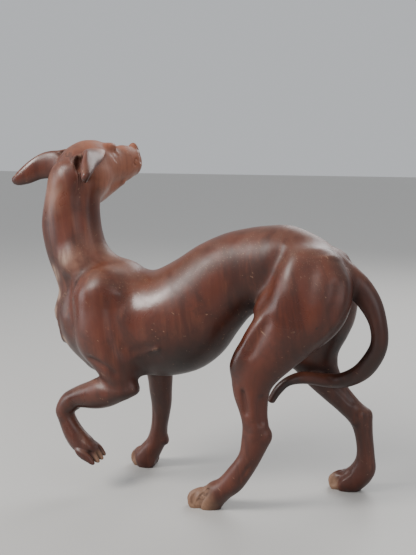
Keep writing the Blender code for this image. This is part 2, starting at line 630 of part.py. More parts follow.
def rough_block(forms):
    """The figure roughed out: every added form, fused by a voxel remesh."""
    block = bmesh.new()
    for form in forms:
        if form["kind"] == "sweep":
            add_ring_loft(block, form)
        elif form["kind"] == "mass" and not form["cut"]:
            add_mass(block, form)
    bmesh.ops.recalc_face_normals(block, faces=block.faces)
    mesh = bpy.data.meshes.new("greyhound_block")
    block.to_mesh(mesh)
    block.free()
    rough = bpy.data.objects.new("greyhound_block", mesh)
    bpy.context.scene.collection.objects.link(rough)
    remesh = rough.modifiers.new("Fuse", "REMESH")
    remesh.mode = "VOXEL"
    remesh.voxel_size = BLOCK_VOXEL
    fused = evaluated_copy(rough)
    bpy.data.objects.remove(rough)
    return fused


def evaluated_copy(source):
    """A new mesh with the source's modifiers applied."""
    graph = bpy.context.evaluated_depsgraph_get()
    return bpy.data.meshes.new_from_object(source.evaluated_get(graph), depsgraph=graph)


def mesh_points(mesh):
    """The mesh's vertices as an array."""
    points = np.empty(len(mesh.vertices) * 3)
    mesh.vertices.foreach_get("co", points)
    return points.reshape(-1, 3)


def set_points(mesh, points):
    """Move the mesh's vertices."""
    mesh.vertices.foreach_set("co", points.ravel())
    mesh.update()


def relax(mesh, points, slope, amount):
    """Even out the vertices along the surface, not through it."""
    edges = np.empty(len(mesh.edges) * 2, dtype=np.int64)
    mesh.edges.foreach_get("vertices", edges)
    edges = edges.reshape(-1, 2)
    starts = np.concatenate([edges[:, 0], edges[:, 1]])
    others = points[np.concatenate([edges[:, 1], edges[:, 0]])]
    count = np.bincount(starts, minlength=len(points))
    total = [np.bincount(starts, weights=others[:, axis], minlength=len(points))
             for axis in range(3)]
    drift = np.stack(total, axis=1) / count[:, None] - points
    normal = slope / np.linalg.norm(slope, axis=1, keepdims=True)
    drift -= normal * (drift * normal).sum(axis=1, keepdims=True)
    return points + amount * drift


def pull_to_surface(mesh, forms, passes):
    """Carve the block back, or swell it out, to the field's own surface."""
    points = mesh_points(mesh)
    for turn in range(passes):
        value, slope = field_and_slope(points, forms)
        steep = np.maximum((slope ** 2).sum(axis=1), LEAST_STEEPNESS)
        move = -slope * (value / steep)[:, None]
        size = np.linalg.norm(move, axis=1, keepdims=True)
        points = points + move * np.minimum(1.0, LONGEST_PULL / np.maximum(size, 1e-9))
        if turn < passes - 2:
            points = relax(mesh, points, slope, EVEN_OUT)
    set_points(mesh, points)


def flatten_soles(mesh):
    """The soles lie in one plane on the floor."""
    points = mesh_points(mesh)
    points[:, 2] = np.where(points[:, 2] < SOLE_SNAP, 0.0, points[:, 2])
    set_points(mesh, points)


def thin_out(mesh, name):
    """Fewer faces, kept where the form turns."""
    dense = bpy.data.objects.new(name, mesh)
    bpy.context.scene.collection.objects.link(dense)
    triangles = sum(len(face.vertices) - 2 for face in mesh.polygons)
    if triangles > FACE_BUDGET:
        thin = dense.modifiers.new("Thin", "DECIMATE")
        thin.ratio = FACE_BUDGET / triangles
        thin.use_collapse_triangulate = True
    thinned = evaluated_copy(dense)
    bpy.data.objects.remove(dense)
    return thinned


def stand_in_metres(figure):
    """Bring the mesh to its real size and its box's middle over the origin."""
    points = mesh_points(figure.data) * UNIT
    set_points(figure.data, points)
    middle = (points.min(axis=0) + points.max(axis=0)) / 2
    figure.location = (-middle[0], -middle[1], 0.0)


def carved_wood():
    """Satin reddish-brown hardwood."""
    wood = bpy.data.materials.new("carved_wood")
    wood.use_nodes = True
    shader = wood.node_tree.nodes["Principled BSDF"]
    shader.inputs["Base Color"].default_value = WOOD_COLOUR
    shader.inputs["Roughness"].default_value = WOOD_ROUGHNESS
    shader.inputs["Metallic"].default_value = 0.0
    return wood


def greyhound():
    """The whole figure as one object."""
    forms = carved_forms()
    mesh = rough_block(forms)
    pull_to_surface(mesh, forms, PULL_PASSES)
    mesh = thin_out(mesh, "greyhound_thin")
    flatten_soles(mesh)
    mesh.name = "greyhound"
    figure = bpy.data.objects.new("greyhound", mesh)
    bpy.context.scene.collection.objects.link(figure)
    stand_in_metres(figure)
    mesh.materials.append(carved_wood())
    mesh.shade_smooth()
    return figure


def clear_scene():
    """Start from an empty scene."""
    for item in list(bpy.data.objects):
        bpy.data.objects.remove(item)


def main():
    clear_scene()
    greyhound()


main()
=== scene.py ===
import bmesh
import bpy
import math
import numpy as np
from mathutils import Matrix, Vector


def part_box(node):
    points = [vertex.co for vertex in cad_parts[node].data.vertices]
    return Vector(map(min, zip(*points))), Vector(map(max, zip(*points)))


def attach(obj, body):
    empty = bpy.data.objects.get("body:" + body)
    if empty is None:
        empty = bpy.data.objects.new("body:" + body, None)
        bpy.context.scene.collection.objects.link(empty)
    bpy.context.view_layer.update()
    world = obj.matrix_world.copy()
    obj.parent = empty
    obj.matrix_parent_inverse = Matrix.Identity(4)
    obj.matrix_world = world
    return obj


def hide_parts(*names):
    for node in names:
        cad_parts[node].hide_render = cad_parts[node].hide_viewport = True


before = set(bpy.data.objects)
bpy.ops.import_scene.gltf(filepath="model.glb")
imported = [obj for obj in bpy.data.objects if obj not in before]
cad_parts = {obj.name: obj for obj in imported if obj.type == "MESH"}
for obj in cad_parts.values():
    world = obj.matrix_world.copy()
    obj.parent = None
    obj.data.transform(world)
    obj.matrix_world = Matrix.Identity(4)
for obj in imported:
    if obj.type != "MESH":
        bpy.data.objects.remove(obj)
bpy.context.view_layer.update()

from concurrent.futures import ThreadPoolExecutor
from mathutils import Matrix, Vector

# The figure's height in metres, and the hundredth of it that the carving is measured in
HEIGHT = 0.625
UNIT = HEIGHT / 100.0
# The middle of the figure's footprint, from the left hind paw that the carving is measured from
MIDDLE = np.array([-0.05455, 0.01875, 0.0])

# Mesh sizes, in hundredths of the height
BLOCK_VOXEL = 0.46
GRADIENT_STEP = 0.08
LONGEST_PULL = 0.5
SOLE_SNAP = 0.12
FAR_OUTSIDE = 1000.0

# How the block is worked, as plain counts
FACE_BUDGET = 188000
RING_POINTS = 14
STEPS_PER_SPAN = 6
PULL_PASSES = 6
FINE_PASSES = 4
CREASE_PASSES = 8
TOE_PASSES = 5

# Shares: how much the mesh is evened out in a pass, the least steepness that a pull allows for,
# and how soon a groove reaches its full depth from either end
EVEN_OUT = 0.5
LEAST_STEEPNESS = 0.05
GROOVE_START = 6.4

LEFT = -1.0
RIGHT = 1.0

# The photograph's camera as estimated: its turn and drop in degrees, its lens in millimetres on a
# 36 mm sensor, and its place in metres from the left hind paw
CAMERA_AZIMUTH = 19.0
CAMERA_DROP = 8.45
SENSOR = 36.0
LENS = 64.865
CAMERA_PLACE = (0.53911, -1.62247, 0.642)

# An ear's middle in the head's own axes, and how far round it the ear reaches
EAR_AHEAD = -7.0
EAR_OUT = 9.0
EAR_RADIUS = 8.5
# How strongly the neck's polish is taken off beside the right ear
EAR_POLISH_LOSS = 1.3

# How far out or in the wood is felt for hollows and sharp edges, in hundredths of the height
NEAR_REACH = 0.8
FAR_REACH = 3.2
EDGE_REACH = 0.7

# How far past its own size a form changes the surface: a solid one in hundredths of the height,
# a groove in its widths
SOLID_MARGIN = 2.0
GROOVE_WIDTHS = 3.0

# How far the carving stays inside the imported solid's box, in metres
BOX_MARGIN = 0.0001

# The room: the floor's half width in metres, its looks, and the light from all round
FLOOR_REACH = 12.0
FLOOR_COLOUR = (0.56, 0.545, 0.52, 1.0)
FLOOR_ROUGHNESS = 0.55
ROOM_COLOUR = (0.93, 0.96, 1.0, 1.0)
ROOM_STRENGTH = 0.6

# The wood's colours, linear
DEEP_WOOD = (0.046, 0.0092, 0.0038, 1.0)
RED_WOOD = (0.101, 0.0205, 0.0085, 1.0)
LIGHT_WOOD = (0.168, 0.047, 0.021, 1.0)
# Dark brown for the wood's own dark mottling, and also the painted shade on what faces down and in
# hollows
DARK_WOOD_AND_SHADE = (0.021, 0.0055, 0.003, 1.0)
# Near black, for patches low on the body and legs, between the hind legs and on the tail
NEAR_BLACK = (0.007, 0.003, 0.002, 1.0)
# Pale dust; on the neck the same colour also stands in for a painted highlight
DUSTY_WOOD_AND_NECK_SHEEN = (0.30, 0.145, 0.095, 1.0)
RUDDY_WOOD = (0.33, 0.11, 0.056, 1.0)
RUBBED_WOOD = (0.36, 0.19, 0.12, 1.0)
PALE_PAW = (0.33, 0.19, 0.115, 1.0)
CHALKY_DUST = (0.42, 0.29, 0.215, 1.0)
SCRATCH = (0.44, 0.26, 0.16, 1.0)
CLAW = (0.02, 0.011, 0.009, 1.0)
GRAIN_TURN = (0.0, 0.12, 0.0)


def unit(vector):
    """The same direction with length one."""
    vector = np.asarray(vector, float)
    return vector / np.linalg.norm(vector)


def smooth_rows(rows):
    """Rows read from a smooth curve through the given rows."""
    rows = np.asarray(rows, float)
    padded = np.vstack([2 * rows[0] - rows[1], rows, 2 * rows[-1] - rows[-2]])
    result = []
    for index in range(len(rows) - 1):
        before, start, end, after = padded[index:index + 4]
        for step in range(STEPS_PER_SPAN):
            t = step / STEPS_PER_SPAN
            bend = 2 * before - 5 * start + 4 * end - after
            twist = -before + 3 * start - 3 * end + after
            result.append(start + 0.5 * (t * (end - before) + t * t * bend + t ** 3 * twist))
    result.append(rows[-1])
    return np.array(result)


def sweep(rows, blend, ends=0.8):
    """A limb lofted through rows of two outline points and a half width."""
    rows = smooth_rows(rows)
    one, other, half_width = rows[:, 0:3], rows[:, 3:6], rows[:, 6:7]
    centre = (one + other) / 2
    rise = (one - other) / 2
    along = np.gradient(centre, axis=0)
    side = np.cross(along, rise)
    side = side / np.linalg.norm(side, axis=1, keepdims=True) * half_width
    ahead = np.cross(rise, side)
    ahead = ahead / np.linalg.norm(ahead, axis=1, keepdims=True)
    ahead = ahead * np.sign(np.sum(ahead * along, axis=1, keepdims=True))
    return {"kind": "sweep", "centre": centre, "rise": rise, "side": side,
            "ahead": ahead, "ends": ends, "blend": blend, "cut": False}


def in_plane(rows):
    """Side-view rows (x, z, x, z, y, half width) as rows with three-dimensional points."""
    return [(ax, y, az, bx, y, bz, wide) for ax, az, bx, bz, y, wide in rows]


def mass(centre, long_axis, thick, wide, blend, out=(0.0, 1.0, 0.0), cut=False):
    """An ellipsoid: half its length along long_axis, wide along out and thick across both."""
    long_axis = np.asarray(long_axis, float)
    ahead = unit(long_axis)
    side = unit(np.asarray(out, float) - ahead * np.dot(out, ahead))
    axes = np.array([ahead, np.cross(side, ahead), side])
    radii = np.array([np.linalg.norm(long_axis), thick, wide])
    return {"kind": "mass", "centre": np.asarray(centre, float), "axes": axes,
            "radii": radii, "blend": blend, "cut": cut}


def groove(points, width, depth):
    """A groove along a smooth path, or a ridge where depth is negative."""
    return {"kind": "groove", "path": smooth_rows(points), "width": width, "depth": depth}


def grooves(*rows):
    """Several grooves, each from its points, width and depth."""
    return [groove(*row) for row in rows]


def round_distance(local, radii):
    """Signed distance, near enough, to an ellipsoid in its own axes."""
    scaled = np.sqrt(((local / radii) ** 2).sum(axis=1))
    slope = np.sqrt(((local / radii ** 2) ** 2).sum(axis=1))
    return scaled * (scaled - 1.0) / np.maximum(slope, 1e-6)


def nearest_row(points, form):
    """For each point, the row of a lofted limb whose outline passes nearest to it."""
    centre, rise, side, ahead = form["centre"], form["rise"], form["side"], form["ahead"]
    up = rise / (rise ** 2).sum(axis=1, keepdims=True)
    out = side / (side ** 2).sum(axis=1, keepdims=True)
    across_up = points @ up.T - (centre * up).sum(axis=1)
    across_out = points @ out.T - (centre * out).sum(axis=1)
    past = points @ ahead.T - (centre * ahead).sum(axis=1)
    share = np.sqrt(across_up ** 2 + across_out ** 2) + 1e-6
    radial = across_up ** 2 * (rise ** 2).sum(axis=1) + across_out ** 2 * (side ** 2).sum(axis=1)
    return (past ** 2 + radial * (1.0 - 1.0 / share) ** 2).argmin(axis=1)


def sweep_distance(points, form):
    """Signed distance, near enough, from points to a lofted limb."""
    centre, rise, side, ahead = form["centre"], form["rise"], form["side"], form["ahead"]
    nearest = nearest_row(points, form)
    last = len(centre) - 2
    best = np.full(len(points), np.inf)
    for shift in (-2, 1, -1, 0):
        first = np.clip(nearest + shift, 0, last)
        past_first = ((points - centre[first]) * ahead[first]).sum(axis=1)
        past_next = ((points - centre[first + 1]) * ahead[first + 1]).sum(axis=1)
        span = past_first - past_next
        share = np.where(span > 1e-6, past_first / np.maximum(span, 1e-6), past_first > 0)
        share = np.clip(share, 0.0, 1.0)[:, None]
        middle = centre[first] * (1 - share) + centre[first + 1] * share
        up = rise[first] * (1 - share) + rise[first + 1] * share
        out = side[first] * (1 - share) + side[first + 1] * share
        up_size = np.linalg.norm(up, axis=1)
        out_size = np.linalg.norm(out, axis=1)
        end_size = form["ends"] * np.minimum(up_size, out_size)
        up = up / up_size[:, None]
        out = out / out_size[:, None]
        offset = points - middle
        sizes = np.stack([up_size, out_size, end_size], axis=1)
        local = np.stack([(offset * up).sum(axis=1), (offset * out).sum(axis=1),
                          (offset * np.cross(up, out)).sum(axis=1)], axis=1)
        distance = round_distance(local, sizes)
        between = ((past_first >= 0) | (first == 0)) & ((past_next <= 0) | (first == last))
        best = np.where(between, np.minimum(best, distance), best)
    return np.where(np.isinf(best), distance, best)


def mass_distance(points, form):
    """Signed distance, near enough, to one ellipsoid mass."""
    local = (points - form["centre"]) @ form["axes"].T
    return round_distance(local, form["radii"])


def groove_depth(points, form):
    """How far a groove sinks the surface at each point."""
    path = form["path"]
    starts, ends = path[:-1], path[1:]
    best = np.full(len(points), np.inf)
    place = np.zeros(len(points))
    for index, (start, end) in enumerate(zip(starts, ends)):
        line = end - start
        share = np.clip(((points - start) @ line) / (line @ line), 0.0, 1.0)
        gap = np.linalg.norm(points - start - share[:, None] * line, axis=1)
        nearer = gap < best
        best = np.where(nearer, gap, best)
        place = np.where(nearer, (index + share) / len(starts), place)
    fade = np.clip(GROOVE_START * place * (1.0 - place), 0.0, 1.0)
    return form["depth"] * fade * np.exp(-(best / form["width"]) ** 2)


def reach(form):
    """Lowest and highest corner of the space that a form can change."""
    if form["kind"] == "sweep":
        size = np.linalg.norm(form["rise"], axis=1, keepdims=True)
        size = size + np.linalg.norm(form["side"], axis=1, keepdims=True)
        low, high = (form["centre"] - size).min(axis=0), (form["centre"] + size).max(axis=0)
        margin = form["blend"] + SOLID_MARGIN
    elif form["kind"] == "mass":
        size = np.sqrt(((form["axes"] * form["radii"][:, None]) ** 2).sum(axis=0))
        low, high = form["centre"] - size, form["centre"] + size
        margin = form["blend"] + SOLID_MARGIN
    else:
        low, high = form["path"].min(axis=0), form["path"].max(axis=0)
        margin = GROOVE_WIDTHS * form["width"]
    return low - margin, high + margin


def field(points, forms):
    """Height above the carved surface at each point: inside the wood it is negative."""
    surface = np.full(len(points), FAR_OUTSIDE)
    for form in forms:
        low, high = form["reach"]
        near = np.all((points > low) & (points < high), axis=1)
        if not near.any():
            continue
        here = points[near]
        if form["kind"] == "groove":
            surface[near] += groove_depth(here, form)
            continue
        measure = sweep_distance if form["kind"] == "sweep" else mass_distance
        distance = measure(here, form)
        blend = form["blend"]
        if form["cut"]:
            meet = np.maximum(blend - np.abs(surface[near] + distance), 0.0) / blend
            surface[near] = np.maximum(surface[near], -distance) + meet ** 2 * blend / 4
        else:
            meet = np.maximum(blend - np.abs(surface[near] - distance), 0.0) / blend
            surface[near] = np.minimum(surface[near], distance) - meet ** 2 * blend / 4
    return np.maximum(surface, -points[:, 2])


def field_and_slope(points, forms):
    """The field and its gradient, from four samples around each point, taken side by side."""
    corners = np.array([(1, 1, 1), (1, -1, -1), (-1, 1, -1), (-1, -1, 1)]) / math.sqrt(3)
    with ThreadPoolExecutor(4) as workers:
        samples = list(workers.map(lambda corner: field(points + corner * GRADIENT_STEP, forms),
                                   corners))
    value = sum(samples) / 4
    slope = sum(corner * sample[:, None] for corner, sample in zip(corners, samples))
    return value, slope * 0.75 / GRADIENT_STEP


def trunk():
    """Chest, ribs, tucked-up waist and rump, in one loft of top and belly points."""
    rows = [
        (-46.2, 55.2, -46.3, 40.3, 0.0, 5.3),
        (-43.4, 58.6, -43.8, 37.8, 0.0, 7.0),
        (-40.0, 61.4, -40.2, 35.0, 0.0, 8.6),
        (-36.0, 64.2, -36.6, 32.9, 0.0, 10.4),
        (-28.0, 65.9, -28.6, 32.2, 0.0, 12.0),
        (-22.8, 63.6, -20.4, 33.1, 0.0, 12.8),
        (-18.6, 63.5, -13.2, 33.5, 0.0, 13.2),
        (-12.4, 66.6, -5.2, 36.0, 0.0, 12.8),
        (-5.6, 71.0, 1.0, 40.8, 0.0, 11.6),
        (1.5, 74.3, 5.3, 46.9, 0.0, 9.8),
        (7.5, 75.9, 9.2, 51.8, 0.0, 8.8),
        (13.5, 76.9, 13.6, 54.2, 0.0, 8.6),
        (20.3, 77.1, 19.2, 53.0, 0.0, 9.2),
        (27.3, 74.6, 24.6, 51.7, 0.0, 9.6),
        (32.7, 71.1, 29.2, 53.3, 0.0, 7.6),
        (36.2, 67.3, 33.5, 57.6, 0.0, 4.6),
    ]
    return [sweep(in_plane(rows), blend=2.0)]


def neck():
    """Long arched neck, deeper than wide, leaning over to the right at its top."""
    rows = [
        (-47.1, 0.0, 48.0, -22.8, 0.0, 55.0, 7.6),
        (-48.8, 0.0, 57.2, -28.3, 0.0, 63.6, 7.3),
        (-51.5, 0.0, 64.5, -33.7, 0.0, 69.2, 7.0),
        (-53.1, 0.0, 70.3, -35.5, 0.0, 73.6, 6.9),
        (-53.8, 0.2, 75.8, -36.3, 0.2, 78.7, 6.8),
        (-52.7, -0.2, 82.2, -36.4, 0.8, 82.8, 7.0),
        (-51.1, -0.8, 88.0, -35.8, 2.6, 86.0, 7.2),
        (-47.4, -1.0, 92.6, -36.2, 3.8, 88.2, 6.8),
    ]
    forms = [sweep(rows, blend=3.4)]
    for side in (LEFT, RIGHT):
        forms += grooves(
            ([(-38.4, 0.6 + side * 5.4, 90.0), (-39.2, 0.2 + side * 5.8, 84.0),
              (-39.0, side * 6.3, 78.0), (-37.8, side * 6.8, 73.0), (-34.6, side * 7.6, 68.4),
              (-30.8, side * 8.4, 65.0)], 1.8, 1.6),
            ([(-50.4, side * 4.6, 66.0), (-48.2, side * 6.2, 60.0),
              (-46.2, side * 6.8, 54.0)], 1.8, 0.4))
    return forms


def thigh_masses(side, knee, hip_shift, knee_shift):
    """Muscles of one hindquarter, on the leg whose knee is at the given place."""
    knee_x, knee_y, knee_z = knee
    front = mass((22.8 + hip_shift, side * 9.0, 59.8), (1.6, 0.0, 9.8), 4.0, 4.7, blend=5.0)
    back = mass((31.4 + hip_shift * 0.5, side * 7.4, 58.5), (1.4, 0.0, 9.0), 5.4, 4.8, blend=5.6)
    to_knee = mass((knee_x + 6.5 + knee_shift, knee_y * 0.98, knee_z + 7.2), (4.2, 0.0, 7.2),
                   2.6, 3.4, blend=3.0)
    cap = mass((knee_x + 2.6, knee_y, knee_z + 0.4), (1.4, 0.0, 3.2), 2.0, 2.8, blend=2.6)
    return [front, back, to_knee, cap]


def hind_leg_left():
    """Left hind leg, reaching forward under the belly."""
    rows = [
        (20.7, 68.2, 34.8, 68.8, -6.2, 4.6),
        (17.6, 60.8, 37.4, 61.8, -7.4, 6.0),
        (14.5, 54.1, 36.6, 55.0, -8.8, 6.4),
        (11.5, 48.2, 31.3, 47.3, -10.0, 5.9),
        (8.9, 42.7, 23.9, 40.5, -10.9, 5.0),
        (7.5, 39.4, 20.2, 37.0, -11.4, 4.3),
        (8.2, 33.0, 18.1, 33.8, -11.8, 3.6),
        (10.0, 28.0, 17.6, 28.7, -12.0, 3.1),
        (10.8, 24.6, 18.0, 25.0, -12.1, 2.8),
        (10.6, 20.8, 18.7, 21.5, -12.1, 2.7),
        (9.8, 16.4, 16.4, 16.1, -12.0, 2.5),
        (6.8, 12.0, 13.5, 10.8, -11.8, 2.6),
        (3.9, 8.6, 10.4, 6.2, -11.5, 2.9),
        (1.2, 7.0, 7.2, 3.4, -11.2, 3.2),
        (-1.0, 4.8, 4.0, -0.1, -11.0, 3.3),
    ]
    forms = [sweep(in_plane(rows), blend=3.0)]
    forms += thigh_masses(LEFT, (7.6, -11.4, 41.5), 0.0, 0.0)
    forms.append(mass((17.4, -12.1, 21.8), (0.4, 0.0, 1.8), 1.2, 1.6, blend=1.2))
    forms.append(mass((14.8, -13.7, 23.2), (0.5, 0.0, 2.4), 1.2, 1.2, blend=1.2))
    forms += grooves(
        ([(16.4, -14.0, 34.0), (16.4, -14.2, 29.0), (16.9, -13.9, 25.0)], 0.8, 0.8),
        ([(11.6, -14.4, 36.0), (12.2, -14.6, 31.5), (12.8, -14.4, 27.5)], 0.9, 0.7),
        ([(14.0, -14.8, 35.0), (14.4, -14.8, 30.0), (14.6, -14.6, 26.0)], 0.8, -0.4))
    return forms


def hind_leg_right():
    """Right hind leg, trailing behind."""
    rows = [
        (18.0, 67.6, 34.0, 67.6, 6.2, 4.6),
        (14.2, 59.0, 36.1, 59.4, 7.4, 6.0),
        (11.6, 50.6, 36.3, 51.6, 8.8, 6.4),
        (11.0, 43.6, 34.5, 46.2, 10.0, 5.9),
        (13.9, 38.4, 31.9, 41.2, 10.9, 5.1),
        (18.9, 35.3, 31.4, 38.0, 11.5, 4.1),
        (22.8, 30.9, 31.8, 35.3, 12.2, 3.5),
        (27.2, 27.1, 34.0, 30.9, 12.8, 3.1),
        (31.4, 23.6, 37.6, 26.5, 13.4, 2.8),
        (35.1, 19.8, 40.8, 23.4, 13.8, 2.6),
        (36.6, 15.0, 41.4, 16.9, 14.1, 2.5),
        (36.7, 10.3, 42.0, 10.8, 14.4, 2.6),
        (35.2, 7.4, 42.3, 6.4, 14.6, 2.9),
        (33.4, 5.8, 40.7, 2.9, 14.7, 3.1),
        (31.8, 4.6, 37.8, -0.1, 14.7, 3.3),
    ]
    forms = [sweep(in_plane(rows), blend=3.0)]
    forms += thigh_masses(RIGHT, (12.6, 11.4, 39.5), -2.0, 0.6)
    forms.append(mass((39.8, 13.7, 22.5), (0.3, 0.0, 1.8), 1.2, 1.7, blend=1.0))
    forms.append(mass((37.4, 11.8, 22.2), (1.4, 0.0, 2.0), 1.2, 1.1, blend=1.2))
    forms.append(groove([(29.6, 9.8, 33.6), (33.4, 10.6, 29.4), (36.6, 11.2, 26.0)], 0.9, 0.7))
    return forms


def shoulder_masses(side, shift):
    """Shoulder blade and upper arm of one side, and the breast muscle in front of them."""
    return [
        mass((-32.6 + shift, side * 8.4, 56.8), (2.6, 0.0, 6.4), 4.8, 4.6, blend=5.0),
        mass((-33.0 + shift, side * 9.4, 45.0), (1.2, 0.0, -5.4), 4.8, 4.4, blend=5.0),
        mass((-41.6, side * 4.8, 47.0), (2.4, 0.0, -6.2), 2.9, 3.4, blend=3.6),
        mass((-41.0, side * 5.4, 64.4), (1.6, 0.0, -4.4), 3.0, 2.6, blend=3.6),
    ]


def foreleg_left():
    """Raised left foreleg: upper arm to the elbow, then the forearm bent back at the wrist."""
    upper = [
        (-38.6, 54.8, -26.8, 58.8, -7.4, 4.6),
        (-37.0, 48.1, -24.1, 51.0, -8.6, 5.2),
        (-35.0, 41.1, -22.2, 43.6, -9.4, 5.2),
        (-32.0, 35.4, -21.7, 36.4, -9.8, 4.8),
        (-29.0, 31.0, -21.1, 31.4, -9.9, 3.4),
    ]
    lower = [
        (-21.2, 31.4, -20.7, 30.1, -9.9, 1.3),
        (-25.1, 32.3, -23.7, 28.0, -9.9, 3.6),
        (-31.5, 33.6, -28.4, 25.5, -9.9, 4.0),
        (-35.6, 32.0, -32.7, 24.4, -9.8, 3.5),
        (-40.1, 29.9, -37.7, 24.2, -9.6, 3.1),
        (-43.8, 27.4, -38.8, 23.6, -9.6, 3.1),
        (-45.9, 23.2, -40.4, 22.2, -9.6, 2.8),
        (-45.0, 19.8, -39.7, 20.3, -9.6, 2.6),
        (-43.3, 15.2, -37.6, 17.6, -9.6, 2.6),
        (-41.1, 12.1, -35.4, 15.4, -9.6, 2.8),
        (-38.4, 10.4, -34.8, 13.5, -9.6, 2.9),
    ]
    forms = shoulder_masses(LEFT, 0.0)
    forms += [sweep(in_plane(upper), blend=5.6), sweep(in_plane(lower), blend=1.8)]
    forms.append(mass((-21.8, -9.9, 31.8), (0.5, 0.0, -1.9), 1.1, 1.5, blend=1.6))
    forms += grooves(
        ([(-42.0, -6.2, 63.0), (-42.4, -7.4, 59.0), (-43.0, -8.0, 55.0),
          (-43.4, -8.0, 50.0)], 2.0, 0.55),
        ([(-39.6, -8.6, 63.0), (-40.4, -7.8, 60.0), (-41.2, -7.6, 57.4)], 0.6, -0.5),
        ([(-27.6, -12.2, 58.0), (-26.4, -13.2, 51.0), (-24.6, -13.6, 45.0),
          (-21.4, -13.4, 40.0)], 2.6, 0.8),
        ([(-34.6, -13.0, 40.6), (-30.6, -14.0, 39.4), (-26.6, -13.8, 37.2),
          (-24.6, -13.2, 34.6)], 1.0, 0.5),
        ([(-22.0, -13.0, 42.0), (-19.0, -13.0, 42.6), (-15.6, -13.0, 44.6)], 1.1, 0.35),
        ([(-20.9, -12.4, 36.6), (-17.0, -12.6, 38.6), (-12.6, -12.4, 41.6)], 1.5, 0.8),
        ([(-20.6, -13.0, 38.6), (-17.6, -13.2, 40.8), (-14.8, -13.2, 42.7),
          (-12.0, -13.0, 44.2)], 0.8, -0.7))
    return forms


def foreleg_right():
    """Right foreleg, straight under the shoulder."""
    rows = [
        (-33.0, 52.0, -19.0, 53.0, 6.4, 4.8),
        (-29.6, 45.0, -16.6, 44.9, 7.4, 4.9),
        (-27.0, 36.3, -17.2, 36.6, 8.6, 4.2),
        (-25.4, 30.6, -17.6, 30.6, 9.6, 3.5),
        (-25.2, 25.4, -18.3, 25.6, 10.8, 3.1),
        (-25.1, 21.2, -18.9, 21.2, 12.0, 2.8),
        (-25.5, 16.6, -20.1, 16.6, 13.2, 2.7),
        (-26.4, 12.6, -21.1, 13.0, 14.2, 2.8),
        (-27.9, 9.0, -21.8, 8.4, 15.0, 2.9),
        (-30.2, 6.4, -23.7, 4.4, 15.3, 3.2),
        (-31.6, 5.0, -26.0, -0.2, 15.4, 3.4),
    ]
    forms = shoulder_masses(RIGHT, 1.0)
    forms.append(sweep(in_plane(rows), blend=3.0))
    forms.append(mass((-18.8, 9.0, 37.6), (0.8, 0.0, -2.6), 1.5, 1.8, blend=1.6))
    forms.append(mass((-21.9, 15.0, 8.8), (0.3, 0.0, -1.3), 0.8, 1.5, blend=1.2))
    forms += grooves(
        ([(-42.0, 6.2, 63.0), (-40.6, 7.8, 59.0), (-39.8, 9.0, 55.0), (-39.2, 9.6, 50.0)], 2.2, 0.7),
        ([(-26.0, 12.2, 59.0), (-23.0, 13.0, 52.0), (-18.4, 13.6, 45.0), (-15.4, 13.4, 39.0)], 2.6, 0.8))
    return forms


def flank_grooves():
    """The fold in front of each thigh, the dip behind the hip and the thigh's rear rim."""
    forms = []
    for side, shift in ((LEFT, 0.0), (RIGHT, -1.6)):
        forms += grooves(
            ([(21.6 + shift, side * 8.6, 72.5), (17.6 + shift, side * 9.6, 66.0),
              (14.4 + shift, side * 9.4, 59.0)], 2.3, 0.75),
            ([(28.8 + shift, side * 11.4, 69.0), (28.8 + shift, side * 13.0, 61.0),
              (26.6 + shift, side * 14.2, 52.0)], 2.6, 0.45),
            ([(35.6 + shift, side * 11.0, 65.0), (35.4 + shift, side * 12.4, 60.0),
              (33.0 + shift, side * 13.6, 54.0)], 1.4, 0.3),
            ([(37.2 + shift, side * 8.6, 66.6), (37.3 + shift, side * 10.6, 60.0),
              (35.0 + shift, side * 12.0, 53.6), (29.8 + shift, side * 13.0, 47.6)], 0.9, -0.6))
        forms.append(mass((15.2 + shift, side * 8.0, 57.4), (2.2, 0.0, 3.0), 1.3, 1.8, blend=3.4))
    forms += grooves(
        ([(18.8, -14.0, 55.0), (15.8, -14.8, 49.0), (12.6, -15.0, 43.0)], 1.7, 0.55),
        ([(16.4, -13.2, 54.0), (12.8, -14.0, 47.6), (9.6, -13.4, 41.0)], 1.3, -0.35))
    return forms


def tail():
    """Tail: down from the rump, round behind and forward between the hind legs."""
    rows = [
        (33.2, 70.6, 29.6, 62.4, 0.0, 2.8),
        (37.7, 67.1, 34.4, 60.6, 0.0, 2.7),
        (41.8, 63.4, 38.0, 57.3, 0.0, 2.5),
        (45.1, 58.1, 40.7, 53.9, 0.0, 2.4),
        (46.8, 51.8, 42.2, 50.6, 0.0, 2.4),
        (47.1, 46.4, 42.4, 46.6, 0.0, 2.3),
        (45.5, 41.5, 40.2, 42.4, 0.8, 2.2),
        (41.9, 36.6, 37.2, 38.9, 2.4, 2.1),
        (36.3, 33.1, 33.1, 36.4, 4.8, 2.0),
        (30.6, 31.9, 29.1, 35.8, 6.2, 1.9),
        (24.3, 32.6, 23.1, 36.1, 5.2, 1.7),
        (20.0, 32.3, 19.1, 34.9, 3.2, 1.5),
        (17.7, 30.2, 16.1, 32.4, 1.9, 1.3),
        (16.1, 27.8, 14.0, 28.6, 1.3, 1.0),
    ]
    return [sweep(in_plane(rows), blend=1.4)]


# The head's own axes: forward along the muzzle, out of its right cheek, and up
HEAD_PLACE = np.array([-42.4, 3.9, 92.4])
HEAD_HEADING = math.radians(62.0)
HEAD_PITCH = math.radians(6.0)
HEAD_FORWARD = np.array([
    math.cos(HEAD_HEADING) * math.cos(HEAD_PITCH),
    math.sin(HEAD_HEADING) * math.cos(HEAD_PITCH),
    math.sin(HEAD_PITCH)])
HEAD_RIGHT = unit(np.cross(HEAD_FORWARD, (0.0, 0.0, 1.0)))
HEAD_UP = np.cross(HEAD_RIGHT, HEAD_FORWARD)

# How far out an ear is level with the head, and how much the right ear rises, and the left one
# falls, for each hundredth past that
EAR_LEVEL = 4.0
EAR_TILT = 0.08


def head_point(forward, right, up):
    """A place on the head, from its own axes."""
    return HEAD_PLACE + forward * HEAD_FORWARD + right * HEAD_RIGHT + up * HEAD_UP


